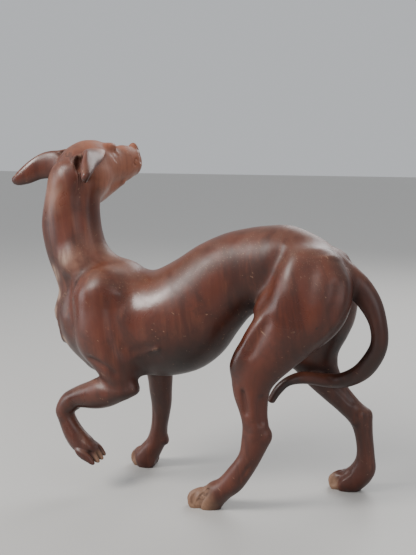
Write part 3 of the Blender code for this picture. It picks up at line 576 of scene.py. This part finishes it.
def head_path(side, *places):
    """Places (forward, out, up) on one side of the head."""
    return [head_point(forward, side * out, up) for forward, out, up in places]


def head_rows(rows):
    """Rows (forward, top, bottom, half width) along the head's middle."""
    return [(*head_point(forward, 0.0, top), *head_point(forward, 0.0, bottom), wide)
            for forward, top, bottom, wide in rows]


def head():
    """Skull and blunt muzzle, lower jaw, nose, brows and eyes."""
    skull = [
        (-7.4, 1.8, -6.6, 4.2),
        (-4.6, 5.2, -8.6, 5.9),
        (0.0, 6.9, -9.2, 6.8),
        (4.4, 6.7, -8.8, 6.2),
        (7.6, 5.4, -7.8, 5.3),
        (10.8, 3.9, -7.0, 4.6),
        (14.2, 4.1, -6.8, 4.2),
        (17.4, 3.4, -5.6, 3.7),
    ]
    jaw = [
        (-2.4, -4.0, -11.4, 4.6),
        (2.4, -4.4, -12.0, 4.4),
        (8.0, -5.0, -9.7, 3.4),
        (11.8, -5.2, -7.9, 2.7),
    ]
    forms = [sweep(head_rows(skull), blend=3.0), sweep(head_rows(jaw), blend=1.4)]
    forms.append(mass(head_point(18.7, 0.0, 2.6), HEAD_UP * 1.7, 1.1, 1.8, blend=1.0,
                      out=HEAD_RIGHT))
    for side in (LEFT, RIGHT):
        forms.append(mass(head_point(7.6, side * 3.0, 4.4), HEAD_FORWARD * 2.2, 1.2, 1.5,
                          blend=1.6, out=HEAD_RIGHT))
        forms.append(mass(head_point(0.6, side * 4.2, -4.4), HEAD_FORWARD * 4.2, 3.6, 2.8,
                          blend=2.4, out=HEAD_RIGHT))
        forms += grooves(
            (head_path(side, (-7.4, 4.0, 2.6), (-5.4, 5.6, 4.2), (-2.4, 6.0, 4.8), (1.6, 5.8, 4.4)),
             1.0, -0.8),
            (head_path(side, (9.2, 3.6, 3.2), (8.6, 5.0, 1.6), (7.2, 5.6, 0.6)), 1.0, 0.5),
            (head_path(side, (18.9, 3.0, 1.4), (18.9, 3.2, -0.4), (18.4, 3.6, -1.9)), 0.7, 0.9),
            (head_path(side, (17.6, 3.0, -5.6), (14.6, 3.8, -5.8), (11.4, 4.0, -6.2)), 0.7, 0.8))
    return forms


def ear(side):
    """Ear held out and back: an upright leaf, its top folded forward in a flap over a hollow."""
    reach_out = (6.0, 8.3, 11.2, 13.9, 16.4, 17.8)
    leaf = zip(reach_out, (
        (-3.6, 3.8, -3.2, -3.8, 2.6), (-4.6, 4.8, -5.6, -3.1, 1.4), (-6.7, 4.5, -7.6, -2.9, 1.2),
        (-9.3, 2.9, -10.1, -3.7, 1.2), (-11.6, 0.6, -12.1, -3.9, 1.1),
        (-12.7, -1.0, -12.9, -3.4, 0.9)))
    flap = zip(reach_out, (
        (-4.0, 4.3, 3.6, 3.4, 1.0), (-4.8, 4.5, 1.4, 2.2, 0.9), (-6.7, 4.2, -2.0, 1.0, 0.85),
        (-9.2, 2.6, -6.1, -0.3, 0.9), (-11.5, 0.4, -9.2, -1.5, 0.9), (-12.5, -1.1, -11.4, -2.2, 0.8)))
    forms = []
    for rows, blend in ((leaf, 0.8), (flap, 0.7)):
        path = []
        for out, (ahead, top, low_ahead, low, thick) in rows:
            lift = side * EAR_TILT * (out - EAR_LEVEL)
            path.append((*head_point(ahead, side * out, top + lift),
                         *head_point(low_ahead, side * out, low + lift), thick))
        forms.append(sweep(path, blend=blend))
    if side == RIGHT:
        forms.append(mass(head_point(-7.2, 8.2, 1.0),
                          -2.4 * HEAD_FORWARD + 3.6 * HEAD_RIGHT - 1.2 * HEAD_UP,
                          2.4, 1.7, blend=0.8, out=HEAD_FORWARD, cut=True))
    return forms


def paw(place, heading, drop, size, tall, behind):
    """Four toes side by side with creases between them; the outer two are set back."""
    ahead = np.array([math.cos(heading) * math.cos(drop), math.sin(heading) * math.cos(drop),
                      -math.sin(drop)])
    side = unit(np.cross((0.0, 0.0, 1.0), ahead))
    up = np.cross(ahead, side)
    place = np.asarray(place, float)
    forms = []
    for across, back, length in ((-2.6, behind, 3.4), (-1.05, 0.0, 3.8),
                                 (1.05, 0.0, 3.8), (2.6, behind, 3.4)):
        centre = place - ahead * back * size + side * across * size
        low = centre - up * 0.45 * abs(across) * size
        forms.append(mass(low, ahead * length * size, tall, 1.55 * size, blend=0.45, out=side))
    for across, back in ((-1.9, behind * 0.6), (0.0, 0.0), (1.9, behind * 0.6)):
        between = place - ahead * back * size + side * across * size
        forms.append(groove([between + ahead * 3.9 * size - up * 1.2,
                             between + ahead * 3.3 * size + up * 1.3,
                             between + ahead * 1.6 * size + up * 0.9 * tall,
                             between - ahead * 0.8 * size + up * tall], 0.6, 1.1))
    return forms


def curled_toes():
    """The raised paw's toes, curled back under it, and the pad behind them."""
    forms = []
    for across, ahead, up in ((-2.6, -0.6, 0.1), (-0.9, 0.2, 0.3), (0.8, 0.6, 0.7), (2.4, 0.6, 1.4)):
        centre = (-35.7 + ahead, -9.6 + across, 10.9 + up)
        forms.append(mass(centre, (2.7, 0.0, -1.6), 1.35, 1.1, blend=0.4))
        forms.append(mass((centre[0] + 2.0, centre[1], centre[2] - 1.5), (1.3, 0.0, -0.9),
                          0.8, 0.8, blend=0.4))
    forms.append(mass((-35.4, -9.8, 13.6), (1.7, 0.0, -1.7), 1.2, 2.4, blend=1.0))
    return forms


def carved_forms():
    """Every form of the figure, in the order in which they merge."""
    forms = trunk() + neck() + hind_leg_left() + hind_leg_right()
    forms += foreleg_left() + foreleg_right() + flank_grooves()
    forms += head() + ear(LEFT) + ear(RIGHT)
    forms += paw((-1.5, -11.2, 2.5), math.radians(203.0), 0.2, 0.98, 3.1, 2.6)
    forms += paw((32.0, 15.3, 2.6), math.radians(196.0), 0.2, 0.92, 3.0, 2.0)
    forms += paw((-30.1, 15.7, 3.0), math.radians(184.0), 0.2, 0.9, 3.4, 1.8)
    forms += grooves(
        ([(3.6, -12.2, 5.8), (1.6, -12.7, 4.9), (0.2, -13.0, 3.2), (-1.0, -13.3, 1.4),
          (-1.6, -13.4, 0.0)], 0.8, 1.6),
        ([(35.4, 12.6, 6.6), (33.4, 12.2, 5.2), (31.6, 12.3, 3.4), (30.2, 12.4, 1.2)], 0.75, 1.5))
    return forms + curled_toes() + tail()


def add_ring_loft(block, form):
    """Lofted rings of one limb, closed at both ends."""
    rings = []
    for centre, rise, side in zip(form["centre"], form["rise"], form["side"]):
        ring = []
        for step in range(RING_POINTS):
            turn = 2 * math.pi * step / RING_POINTS
            ring.append(block.verts.new(centre + math.cos(turn) * rise + math.sin(turn) * side))
        rings.append(ring)
    for ring, following in zip(rings, rings[1:]):
        for step in range(RING_POINTS):
            after = (step + 1) % RING_POINTS
            block.faces.new((ring[step], ring[after], following[after], following[step]))
    block.faces.new(rings[0][::-1])
    block.faces.new(rings[-1])


def add_mass(block, form):
    """One ellipsoid of the block."""
    made = bmesh.ops.create_icosphere(block, subdivisions=2, radius=1.0)
    for vert in made["verts"]:
        local = np.array(vert.co) * form["radii"]
        vert.co = form["centre"] + local @ form["axes"]


def in_scene(name, data):
    """A new object in the scene, holding the given mesh, light or camera."""
    holder = bpy.data.objects.new(name, data)
    bpy.context.scene.collection.objects.link(holder)
    return holder


def rough_block(forms):
    """The figure roughed out: every added form, fused by a voxel remesh."""
    block = bmesh.new()
    for form in forms:
        if form["kind"] == "sweep":
            add_ring_loft(block, form)
        elif form["kind"] == "mass" and not form["cut"]:
            add_mass(block, form)
    bmesh.ops.recalc_face_normals(block, faces=block.faces)
    mesh = bpy.data.meshes.new("greyhound_block")
    block.to_mesh(mesh)
    block.free()
    rough = in_scene("greyhound_block", mesh)
    remesh = rough.modifiers.new("Fuse", "REMESH")
    remesh.mode = "VOXEL"
    remesh.voxel_size = BLOCK_VOXEL
    fused = evaluated_copy(rough)
    bpy.data.objects.remove(rough)
    return fused


def evaluated_copy(source):
    """A new mesh with the source's modifiers applied."""
    graph = bpy.context.evaluated_depsgraph_get()
    return bpy.data.meshes.new_from_object(source.evaluated_get(graph), depsgraph=graph)


def mesh_points(mesh):
    """The mesh's vertices as an array."""
    points = np.empty(len(mesh.vertices) * 3)
    mesh.vertices.foreach_get("co", points)
    return points.reshape(-1, 3)


def set_points(mesh, points):
    """Move the mesh's vertices."""
    mesh.vertices.foreach_set("co", points.ravel())
    mesh.update()


def edge_ends(mesh):
    """The vertices at the two ends of every edge, each edge both ways round."""
    edges = np.empty(len(mesh.edges) * 2, dtype=np.int64)
    mesh.edges.foreach_get("vertices", edges)
    edges = edges.reshape(-1, 2)
    return np.concatenate([edges[:, 0], edges[:, 1]]), np.concatenate([edges[:, 1], edges[:, 0]])


def to_neighbours(points, starts, ends):
    """The way from each vertex to the middle of its neighbours."""
    count = np.bincount(starts, minlength=len(points))[:, None]
    total = [np.bincount(starts, weights=points[ends, axis], minlength=len(points))
             for axis in range(3)]
    return np.stack(total, axis=1) / count - points


def relax(mesh, points, slope, amount):
    """Even out the vertices along the surface, not through it."""
    drift = to_neighbours(points, *edge_ends(mesh))
    normal = slope / np.linalg.norm(slope, axis=1, keepdims=True)
    drift -= normal * (drift * normal).sum(axis=1, keepdims=True)
    return points + amount * drift


def pull_to_surface(mesh, forms, passes):
    """Carve the block back, or swell it out, to the field's own surface."""
    points = mesh_points(mesh)
    for turn in range(passes):
        value, slope = field_and_slope(points, forms)
        steep = np.maximum((slope ** 2).sum(axis=1), LEAST_STEEPNESS)
        move = -slope * (value / steep)[:, None]
        size = np.linalg.norm(move, axis=1, keepdims=True)
        points = points + move * np.minimum(1.0, LONGEST_PULL / np.maximum(size, 1e-9))
        if turn < passes - 2:
            points = relax(mesh, points, slope, EVEN_OUT)
    set_points(mesh, points)


def thin_out(mesh, name):
    """Fewer faces, kept where the form turns."""
    dense = in_scene(name, mesh)
    triangles = sum(len(face.vertices) - 2 for face in mesh.polygons)
    if triangles > FACE_BUDGET:
        thin = dense.modifiers.new("Thin", "DECIMATE")
        thin.ratio = FACE_BUDGET / triangles
        thin.use_collapse_triangulate = True
    thinned = evaluated_copy(dense)
    bpy.data.objects.remove(dense)
    return thinned


def fine_regions():
    """Centres and radii, in hundredths, of the places that get a finer mesh."""
    places = [(head_point(16.0, 0.0, -1.0), 8.0)]
    for side in (LEFT, RIGHT):
        places += [(head_point(5.0, side * 4.5, 2.0), 5.0),
                   (head_point(EAR_AHEAD, side * EAR_OUT, 0.0), EAR_RADIUS)]
    return places + [((-2.5, -12.3, 2.5), 6.5), ((31.0, 14.6, 2.5), 6.0), ((-31.0, 15.4, 2.5), 6.0),
                     ((-34.0, -9.6, 11.5), 6.0), ((15.5, 1.4, 30.0), 3.5)]


def chest_creases():
    """Where the chest's muscles meet too sharply: centres and radii."""
    places = []
    for side in (LEFT, RIGHT):
        places += [((-41.5, side * 8.0, 58.0), 8.0), ((-39.0, side * 10.0, 46.0), 7.0)]
    return places


def toe_creases():
    """Where the creases between the toes are too sharp: centres and radii."""
    return [((-1.8, -12.6, 2.8), 8.5), ((31.4, 13.4, 3.2), 6.5)]


def chosen_points(points, regions):
    """Which points lie in any of the given places."""
    chosen = np.zeros(len(points), bool)
    for centre, radius in regions:
        chosen |= np.linalg.norm(points - np.asarray(centre, float), axis=1) < radius
    return chosen


def refine(mesh, regions):
    """Cut the faces near each given place into four."""
    work = bmesh.new()
    work.from_mesh(mesh)
    chosen = chosen_points(mesh_points(mesh), regions)
    edges = [edge for edge in work.edges if all(chosen[vert.index] for vert in edge.verts)]
    bmesh.ops.subdivide_edges(work, edges=edges, cuts=1, use_grid_fill=True)
    work.to_mesh(mesh)
    work.free()


def pull_near(mesh, forms, regions, passes):
    """Carve only the places that got a finer mesh."""
    points = mesh_points(mesh)
    chosen = chosen_points(points, regions)
    normals = np.ones_like(points)
    for turn in range(passes):
        value, slope = field_and_slope(points[chosen], forms)
        steep = np.maximum((slope ** 2).sum(axis=1), LEAST_STEEPNESS)
        points[chosen] -= slope * (value / steep)[:, None]
        if turn < passes - 1:
            normals[chosen] = slope
            points[chosen] = relax(mesh, points, normals, EVEN_OUT)[chosen]
    set_points(mesh, points)


def soften(mesh, regions, passes):
    """Melt small ripples and sharp creases near the given places."""
    points = mesh_points(mesh)
    share = nearness(points, regions)[:, None]
    starts, ends = edge_ends(mesh)
    for _ in range(passes):
        points += share * EVEN_OUT * to_neighbours(points, starts, ends)
    set_points(mesh, points)


def openness(points, slope, forms, distance):
    """How open the surface is at each point: 1 on a bare swell, less in a hollow."""
    normal = slope / np.linalg.norm(slope, axis=1, keepdims=True)
    away = field(points + normal * distance, forms)
    return np.clip(away / distance, 0.0, 1.0)


def sharpness(points, slope, forms, distance):
    """How much the surface turns away at each point: 0 on a flat, 1 on a sharp edge."""
    normal = slope / np.linalg.norm(slope, axis=1, keepdims=True)
    inside = -field(points - normal * distance, forms)
    return np.clip(1.0 - inside / distance, 0.0, 1.0)


def store_value(mesh, name, values):
    """Keep one number for each vertex, for the wood to read."""
    layer = mesh.attributes.new(name, "FLOAT", "POINT")
    layer.data.foreach_set("value", np.ascontiguousarray(values, dtype=np.float32))


def closeness(points, centre, radius):
    """1 at a place, falling to 0 at the given radius."""
    gap = np.linalg.norm(points - np.asarray(centre, float), axis=1)
    share = np.clip(1.0 - gap / radius, 0.0, 1.0)
    return share * share * (3.0 - 2.0 * share)


def nearness(points, places):
    """The greatest closeness to any of several places."""
    share = np.zeros(len(points))
    for centre, radius in places:
        share = np.maximum(share, closeness(points, centre, radius))
    return share


def wear_places():
    """Centres and radii of the polished, worn, dusty and near-black places, by what the wood reads; the
    dusty places on the neck also paint a highlight.
    """
    polish = [((-21.0, -11.0, 58.0), 15.0), ((-37.0, -12.0, 55.0), 8.0),
              ((23.5, -13.5, 55.0), 11.0), ((10.0, -13.0, 44.0), 9.0),
              ((-49.0, -6.0, 84.0), 12.0), ((-43.0, -12.0, 16.0), 7.0),
              ((-38.0, -12.0, 29.0), 7.0), (head_point(-12.0, -14.0, 0.0), 9.0)]
    polish += [(np.array(centre) * (1.0, -1.0, 1.0), radius) for centre, radius in polish]
    return {
        "paw_wear": [((-2.0, -12.4, 2.0), 9.5), ((29.4, 14.4, 1.4), 5.2),
                     ((-32.6, 15.4, 1.4), 4.6), ((-32.4, -9.6, 9.6), 4.0)],
        "ruddy": [(head_point(8.0, 1.0, -1.5), 19.0)],
        # Patches darkened to near black, low on the body and legs, between the hind legs and on the tail
        "dark_patch": [((35.0, 4.5, 36.0), 9.0), ((-8.0, -8.0, 36.0), 18.0),
                  ((20.0, 1.0, 31.0), 10.0), ((44.0, 3.0, 44.0), 11.0),
                  ((32.0, 9.0, 44.0), 10.0), ((8.0, -12.0, 42.0), 9.0)],
        # Dust on the head and withers; the two places on the neck also stand in for a painted highlight
        "dust_and_neck_sheen": [(head_point(2.0, 0.0, 5.0), 14.0), ((-30.0, -2.0, 66.0), 15.0),
                 ((-49.0, -5.0, 85.0), 9.0), ((-40.0, -7.0, 66.0), 6.0)],
        "polish": polish,
        "chalk": [((-49.4, -3.0, 50.0), 4.6), ((-49.0, -3.5, 56.0), 4.8),
                  ((-48.6, -4.0, 61.5), 4.4), ((-46.0, -5.5, 41.5), 3.6),
                  ((-43.4, -6.2, 66.5), 4.4)],
        "claw": claw_places(),
    }


def store_wear(mesh, forms):
    """Painted shade in the hollows, and where the wood is worn, dusty, ruddy, near black or polished;
    the neck's dust also paints a highlight.
    """
    points = mesh_points(mesh)
    _, slope = field_and_slope(points, forms)
    near = openness(points, slope, forms, NEAR_REACH)
    far = openness(points, slope, forms, FAR_REACH)
    # How enclosed the surface is: the wood reads it for painted shade in hollows and creases
    store_value(mesh, "hollow", 1.0 - near * (0.35 + 0.65 * far))
    store_value(mesh, "edge", sharpness(points, slope, forms, EDGE_REACH))
    for name, places in wear_places().items():
        share = nearness(points, places)
        if name == "polish":
            right_ear = head_point(EAR_AHEAD, RIGHT * EAR_OUT, 0.0)
            share -= EAR_POLISH_LOSS * closeness(points, right_ear, EAR_RADIUS)
        store_value(mesh, name, share)


def claw_places():
    """Centres and radii of the dark claws, at the tips of the toes near the floor."""
    places = []
    for tip, heading, spread, radius in (((-6.4, -13.2, 0.9), 203.0, 1.35, 0.95),
                                         ((28.3, 14.2, 0.9), 196.0, 1.25, 0.9),
                                         ((-34.6, 15.4, 1.0), 184.0, 1.25, 0.9)):
        turn = math.radians(heading)
        side = np.array([-math.sin(turn), math.cos(turn), 0.0])
        for step in (-1.5, -0.5, 0.5, 1.5):
            back = np.array([-math.cos(turn), -math.sin(turn), 0.0]) * (abs(step) - 0.5) * 1.7
            places.append((np.array(tip) + side * step * spread * 1.5 + back, radius))
    for across in (-2.6, -0.9, 0.8, 2.4):
        places.append(((-32.2 + across * 0.15, -9.6 + across, 8.6 + across * 0.2), 1.1))
    return places


def fine_details():
    """What only the fine carving has room for: mouth, nostrils, eyelids and tendons."""
    forms = []
    for side in (LEFT, RIGHT):
        forms += grooves(
            (head_path(side, (17.6, 2.4, -5.0), (15.6, 3.5, -5.2), (13.4, 3.8, -5.6),
                       (10.6, 4.0, -6.3)), 0.32, 0.5),
            (head_path(side, (17.3, 3.2, -1.0), (16.4, 3.6, -0.1), (15.3, 3.8, -0.9),
                       (15.8, 3.8, -2.0), (16.9, 3.5, -1.9)), 0.34, 0.3),
            (head_path(side, (10.2, 3.4, 2.8), (8.8, 4.4, 3.2), (7.2, 5.0, 2.8), (6.2, 5.4, 2.0)),
             0.32, 0.32),
            (head_path(side, (10.0, 3.7, 1.9), (8.6, 4.8, 1.6), (7.2, 5.3, 1.8)), 0.3, 0.3))
    for one, other in (((11.6, -14.5, 17.6), (5.0, -14.2, 8.4)),
                       ((14.2, -14.2, 15.2), (9.4, -13.4, 8.0)),
                       ((38.0, 11.6, 17.0), (37.6, 11.9, 8.0)),
                       ((-43.0, -12.3, 21.0), (-39.8, -12.3, 15.8)),
                       ((-23.4, 10.4, 20.0), (-24.4, 12.2, 12.4))):
        middle = (np.array(one) + np.array(other)) / 2
        forms.append(groove([one, middle, other], 0.5, 0.26))
    return forms


def fine_mesh():
    """The figure, carved finely enough to stand near."""
    forms = carved_forms() + fine_details()
    for form in forms:
        form["reach"] = reach(form)
    mesh = rough_block(forms)
    pull_to_surface(mesh, forms, PULL_PASSES)
    soften(mesh, chest_creases(), CREASE_PASSES)
    regions = fine_regions()
    refine(mesh, regions)
    refine(mesh, regions)
    pull_near(mesh, forms, regions, FINE_PASSES)
    soften(mesh, toe_creases(), TOE_PASSES)
    mesh = thin_out(mesh, "greyhound_carving_dense")
    flatten_soles(mesh)
    store_wear(mesh, forms)
    return mesh


def flatten_soles(mesh):
    """The soles lie in one plane on the floor."""
    points = mesh_points(mesh)
    points[:, 2] = np.where(points[:, 2] < SOLE_SNAP, 0.0, points[:, 2])
    set_points(mesh, points)


def carved_greyhound():
    """The fine carving, in metres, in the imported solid's place."""
    mesh = fine_mesh()
    points = mesh_points(mesh) * UNIT - MIDDLE
    low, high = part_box("greyhound")
    lowest = [low[0] + BOX_MARGIN, low[1] + BOX_MARGIN, 0.0]
    set_points(mesh, np.clip(points, lowest, np.asarray(high) - BOX_MARGIN))
    mesh.name = "greyhound_carving"
    carving = in_scene("greyhound_carving", mesh)
    mesh.shade_smooth()
    mesh.materials.append(polished_wood())
    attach(carving, "root")
    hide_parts("greyhound")


class Tree:
    """Short names for the nodes of one material."""

    def __init__(self, name):
        self.material = bpy.data.materials.new(name)
        self.material.use_nodes = True
        self.nodes = self.material.node_tree.nodes
        self.links = self.material.node_tree.links
        self.shader = self.nodes["Principled BSDF"]

    def put(self, value, socket):
        """Set a socket to a number or colour, or link it to another node's output."""
        if isinstance(value, bpy.types.NodeSocket):
            self.links.new(value, socket)
        else:
            socket.default_value = value

    def new(self, kind, **values):
        """A node with its named sockets filled; a name has _ for each space."""
        node = self.nodes.new("ShaderNode" + kind)
        for name, value in values.items():
            self.put(value, node.inputs[name.replace("_", " ")])
        return node

    def place(self, stretch=(1.0, 1.0, 1.0), turn=(0.0, 0.0, 0.0)):
        """The object's own coordinates in metres, turned and then stretched."""
        turned = self.new("Mapping", Vector=self.new("TexCoord").outputs["Object"], Rotation=turn)
        return self.new("Mapping", Vector=turned.outputs["Vector"], Scale=stretch).outputs["Vector"]

    def noise(self, place, scale, detail=3.0, roughness=0.55, distortion=0.0):
        """Soft noise from 0 to 1."""
        node = self.new("TexNoise", Vector=place, Scale=scale, Detail=detail,
                        Roughness=roughness, Distortion=distortion)
        return node.outputs["Fac"]

    def value(self, name):
        """A number kept for each vertex."""
        node = self.new("Attribute")
        node.attribute_name = name
        return node.outputs["Fac"]

    def span(self, value, low, high, start=0.0, end=1.0):
        """Spread a value between low and high over start to end, smoothly, and no further."""
        node = self.new("MapRange", Value=value, From_Min=low, From_Max=high, To_Min=start, To_Max=end)
        node.interpolation_type = "SMOOTHSTEP"
        return node.outputs["Result"]

    def sum(self, operation, one, other):
        """Two values put together by the named operation."""
        node = self.new("Math")
        node.operation = operation
        self.put(one, node.inputs[0])
        self.put(other, node.inputs[1])
        return node.outputs["Value"]

    def times(self, one, other):
        """One value times the other."""
        return self.sum("MULTIPLY", one, other)

    def mix(self, amount, base, over):
        """The base colour with a share of another over it."""
        node = self.new("Mix", Factor=amount)
        node.data_type = "RGBA"
        self.put(base, node.inputs[6])
        self.put(over, node.inputs[7])
        return node.outputs[2]

    def facing_up(self):
        """1 where the surface faces up, -1 where it faces down."""
        normal = self.new("NewGeometry").outputs["Normal"]
        return self.new("SeparateXYZ", Vector=normal).outputs["Z"]

    def bump(self, height, strength, distance, under=None):
        """Small relief, over other small relief where it is given."""
        node = self.new("Bump", Strength=strength, Distance=distance, Height=height)
        if under is not None:
            self.put(under, node.inputs["Normal"])
        return node.outputs["Normal"]


class Wood(Tree):
    """The carved wood's nodes, with the noises and values that its looks share."""

    def __init__(self):
        super().__init__("carved_wood_polished")
        along = self.place((1.0, 1.0, 0.07), GRAIN_TURN)
        loosely = self.place((1.0, 1.0, 0.3), GRAIN_TURN)
        self.around = self.place()
        self.streaks = self.noise(along, 80.0, 5.0, 0.66, 0.6)
        self.broad = self.noise(loosely, 15.0, 5.0, 0.62, 1.2)
        self.patches = self.noise(self.around, 7.0, 3.0, 0.5, 0.6)
        self.mottle = self.noise(self.around, 19.0, 5.0, 0.62, 0.5)
        self.fleck = self.noise(self.around, 150.0, 3.0, 0.6)
        self.up = self.facing_up()
        self.hollow = self.value("hollow")


def bare_wood(wood):
    """Red and light streaks over deep brown, with dark mottling."""
    colour = wood.mix(wood.span(wood.broad, 0.32, 0.7), DEEP_WOOD, RED_WOOD)
    lit = wood.times(wood.span(wood.streaks, 0.46, 0.78), wood.span(wood.patches, 0.4, 0.64, 0.05, 0.7))
    colour = wood.mix(lit, colour, LIGHT_WOOD)
    return wood.mix(wood.span(wood.mottle, 0.5, 0.74, 0.0, 0.6), colour, DARK_WOOD_AND_SHADE)


def dust_and_sheen_share(wood):
    """Old dust on what faces up and on the head and withers; on the neck the pale colour is partly a
    painted highlight.
    """
    lying = wood.times(wood.span(wood.up, 0.1, 0.9), wood.span(wood.mottle, 0.3, 0.65, 0.25, 0.9))
    kept = wood.times(wood.value("dust_and_neck_sheen"), wood.span(wood.mottle, 0.3, 0.68, 0.2, 0.75))
    return wood.sum("MAXIMUM", wood.times(lying, 0.34), kept)


def shaded(wood, colour):
    """Ruddy on the face, painted shade on what faces down and in hollows, and near-black patches."""
    face = wood.value("ruddy")
    ruddy = wood.times(wood.span(face, 0.0, 0.5), wood.span(wood.streaks, 0.3, 0.6, 0.55, 0.95))
    colour = wood.mix(ruddy, colour, RUDDY_WOOD)
    # Painted shade: darker on what faces down, less of it on the face
    under = wood.times(wood.span(wood.up, 0.1, -0.65, 0.0, 0.72), wood.span(face, 0.0, 0.5, 1.0, 0.25))
    colour = wood.mix(under, colour, DARK_WOOD_AND_SHADE)
    # Patches darkened to near black
    dark_patches = wood.times(wood.value("dark_patch"), wood.span(wood.mottle, 0.3, 0.6, 0.5, 0.95))
    colour = wood.mix(dark_patches, colour, NEAR_BLACK)
    # Painted shade in hollows and creases
    return wood.mix(wood.span(wood.hollow, 0.22, 0.85, 0.0, 0.8), colour, DARK_WOOD_AND_SHADE)


def paw_share(wood):
    """Wear on the paws, less of it in their creases."""
    worn = wood.times(wood.span(wood.value("paw_wear"), 0.08, 0.75),
                      wood.span(wood.mottle, 0.25, 0.62, 0.9, 0.45))
    return wood.times(worn, wood.span(wood.hollow, 0.95, 0.35, 0.3, 1.0))


def mark_share(wood):
    """Small scratches, and specks on what faces up."""
    slanted = wood.place((1.0, 1.0, 0.12), (0.5, 0.9, 0.3))
    scratches = wood.span(wood.noise(slanted, 240.0, 2.0, 0.5), 0.69, 0.74)
    specks = wood.span(wood.noise(wood.around, 520.0, 1.0, 0.4), 0.66, 0.74)
    marks = wood.sum("MAXIMUM", scratches, wood.times(specks, wood.span(wood.up, 0.0, 0.6)))
    return wood.times(marks, wood.span(wood.mottle, 0.42, 0.58))


def wood_roughness(wood, dust_and_sheen, worn, chalky):
    """Smoother where hands polished it, rougher under dust and wear and in hollows."""
    rough = wood.span(wood.mottle, 0.3, 0.7, 0.35, 0.47)
    polished = wood.times(wood.span(wood.value("polish"), 0.0, 0.7), 0.14)
    rough = wood.sum("SUBTRACT", rough, polished)
    for share, amount in ((dust_and_sheen, 0.18), (worn, 0.3), (chalky, 0.3)):
        rough = wood.sum("ADD", rough, wood.times(share, amount))
    return wood.sum("ADD", rough, wood.span(wood.hollow, 0.2, 0.7, 0.0, 0.3))


def polished_wood():
    """Reddish-brown hardwood: streaked, polished by hands and dusty on top, with painted shade below and
    in its hollows and a painted highlight on the neck.
    """
    wood = Wood()
    dust_and_sheen, worn, marks = dust_and_sheen_share(wood), paw_share(wood), mark_share(wood)
    chalky = wood.times(wood.span(wood.value("chalk"), 0.05, 0.8),
                        wood.span(wood.streaks, 0.35, 0.62, 0.15, 0.75))
    rubbed = wood.times(wood.span(wood.value("edge"), 0.35, 0.8), wood.span(wood.fleck, 0.35, 0.6))
    colour = shaded(wood, wood.mix(dust_and_sheen, bare_wood(wood), DUSTY_WOOD_AND_NECK_SHEEN))
    for share, over in ((wood.times(rubbed, 0.4), RUBBED_WOOD), (chalky, CHALKY_DUST),
                        (worn, PALE_PAW), (wood.times(marks, 0.4), SCRATCH),
                        (wood.span(wood.value("claw"), 0.3, 0.7, 0.0, 0.8), CLAW)):
        colour = wood.mix(share, colour, over)
    tooled = wood.bump(wood.noise(wood.around, 34.0, 2.0, 0.45), 0.3, 0.0014)
    grained = wood.bump(wood.streaks, 0.3, 0.0006, tooled)
    for name, value in (("Base Color", colour), ("Specular IOR Level", 0.5),
                        ("Roughness", wood_roughness(wood, dust_and_sheen, worn, chalky)),
                        ("Coat Weight", 0.06), ("Coat Roughness", 0.3),
                        ("Normal", wood.bump(marks, -0.5, 0.0004, grained))):
        wood.put(value, wood.shader.inputs[name])
    return wood.material


def plain_material(name, colour, roughness):
    """One even colour."""
    material = bpy.data.materials.new(name)
    material.use_nodes = True
    shader = material.node_tree.nodes["Principled BSDF"]
    shader.inputs["Base Color"].default_value = colour
    shader.inputs["Roughness"].default_value = roughness
    return material


def floor():
    """A plain pale floor, flat and far wider than the figure."""
    work = bmesh.new()
    work.faces.new([work.verts.new((across * FLOOR_REACH, along * FLOOR_REACH, 0.0))
                    for across, along in ((-1, -1), (1, -1), (1, 1), (-1, 1))])
    mesh = bpy.data.meshes.new("pale_floor")
    work.to_mesh(mesh)
    work.free()
    mesh.materials.append(plain_material("pale_floor", FLOOR_COLOUR, FLOOR_ROUGHNESS))
    ground = in_scene("pale_floor", mesh)


def softbox(name, place, aim, size, power, colour=(1.0, 1.0, 1.0)):
    """One square soft light that looks at a point."""
    light = bpy.data.lights.new(name, "AREA")
    light.shape = "SQUARE"
    light.size = size
    light.energy = power
    light.color = colour
    holder = in_scene(name, light)
    holder.location = place
    holder.rotation_euler = (Vector(aim) - Vector(place)).to_track_quat("-Z", "Y").to_euler()


def studio_light():
    """Soft lights on the left, on the right and behind, and a bright room around."""
    softbox("key_light", (-1.5, -1.6, 1.95), (0.0, 0.0, 0.35), 0.95, 68.0, (1.0, 0.98, 0.95))
    softbox("left_light", (-2.0, -0.85, 0.7), (-0.15, 0.0, 0.4), 1.0, 10.0, (0.93, 0.96, 1.0))
    softbox("fill_light", (1.9, -1.7, 1.1), (0.0, 0.0, 0.3), 1.2, 9.0, (0.95, 0.98, 1.0))
    softbox("back_light", (0.4, 2.2, 1.9), (0.0, 0.0, 0.3), 1.6, 34.0)
    world = bpy.data.worlds.new("bright_room")
    world.use_nodes = True
    room = world.node_tree.nodes["Background"]
    room.inputs["Color"].default_value = ROOM_COLOUR
    room.inputs["Strength"].default_value = ROOM_STRENGTH
    bpy.context.scene.world = world


def camera():
    """The camera at the place, angle and lens estimated for the photograph."""
    turn = math.radians(CAMERA_AZIMUTH)
    drop = math.radians(CAMERA_DROP)
    back = Vector((math.sin(turn) * math.cos(drop), -math.cos(turn) * math.cos(drop), math.sin(drop)))
    right = Vector((math.cos(turn), math.sin(turn), 0.0))
    lens = bpy.data.cameras.new("photo_camera")
    lens.sensor_width = SENSOR
    lens.lens = LENS
    place = Vector(CAMERA_PLACE) - Vector(MIDDLE)
    holder = in_scene("photo_camera", lens)
    holder.matrix_world = Matrix((*zip(right, back.cross(right), back, place), (0.0, 0.0, 0.0, 1.0)))
    bpy.context.scene.camera = holder


camera()
studio_light()
floor()
carved_greyhound()
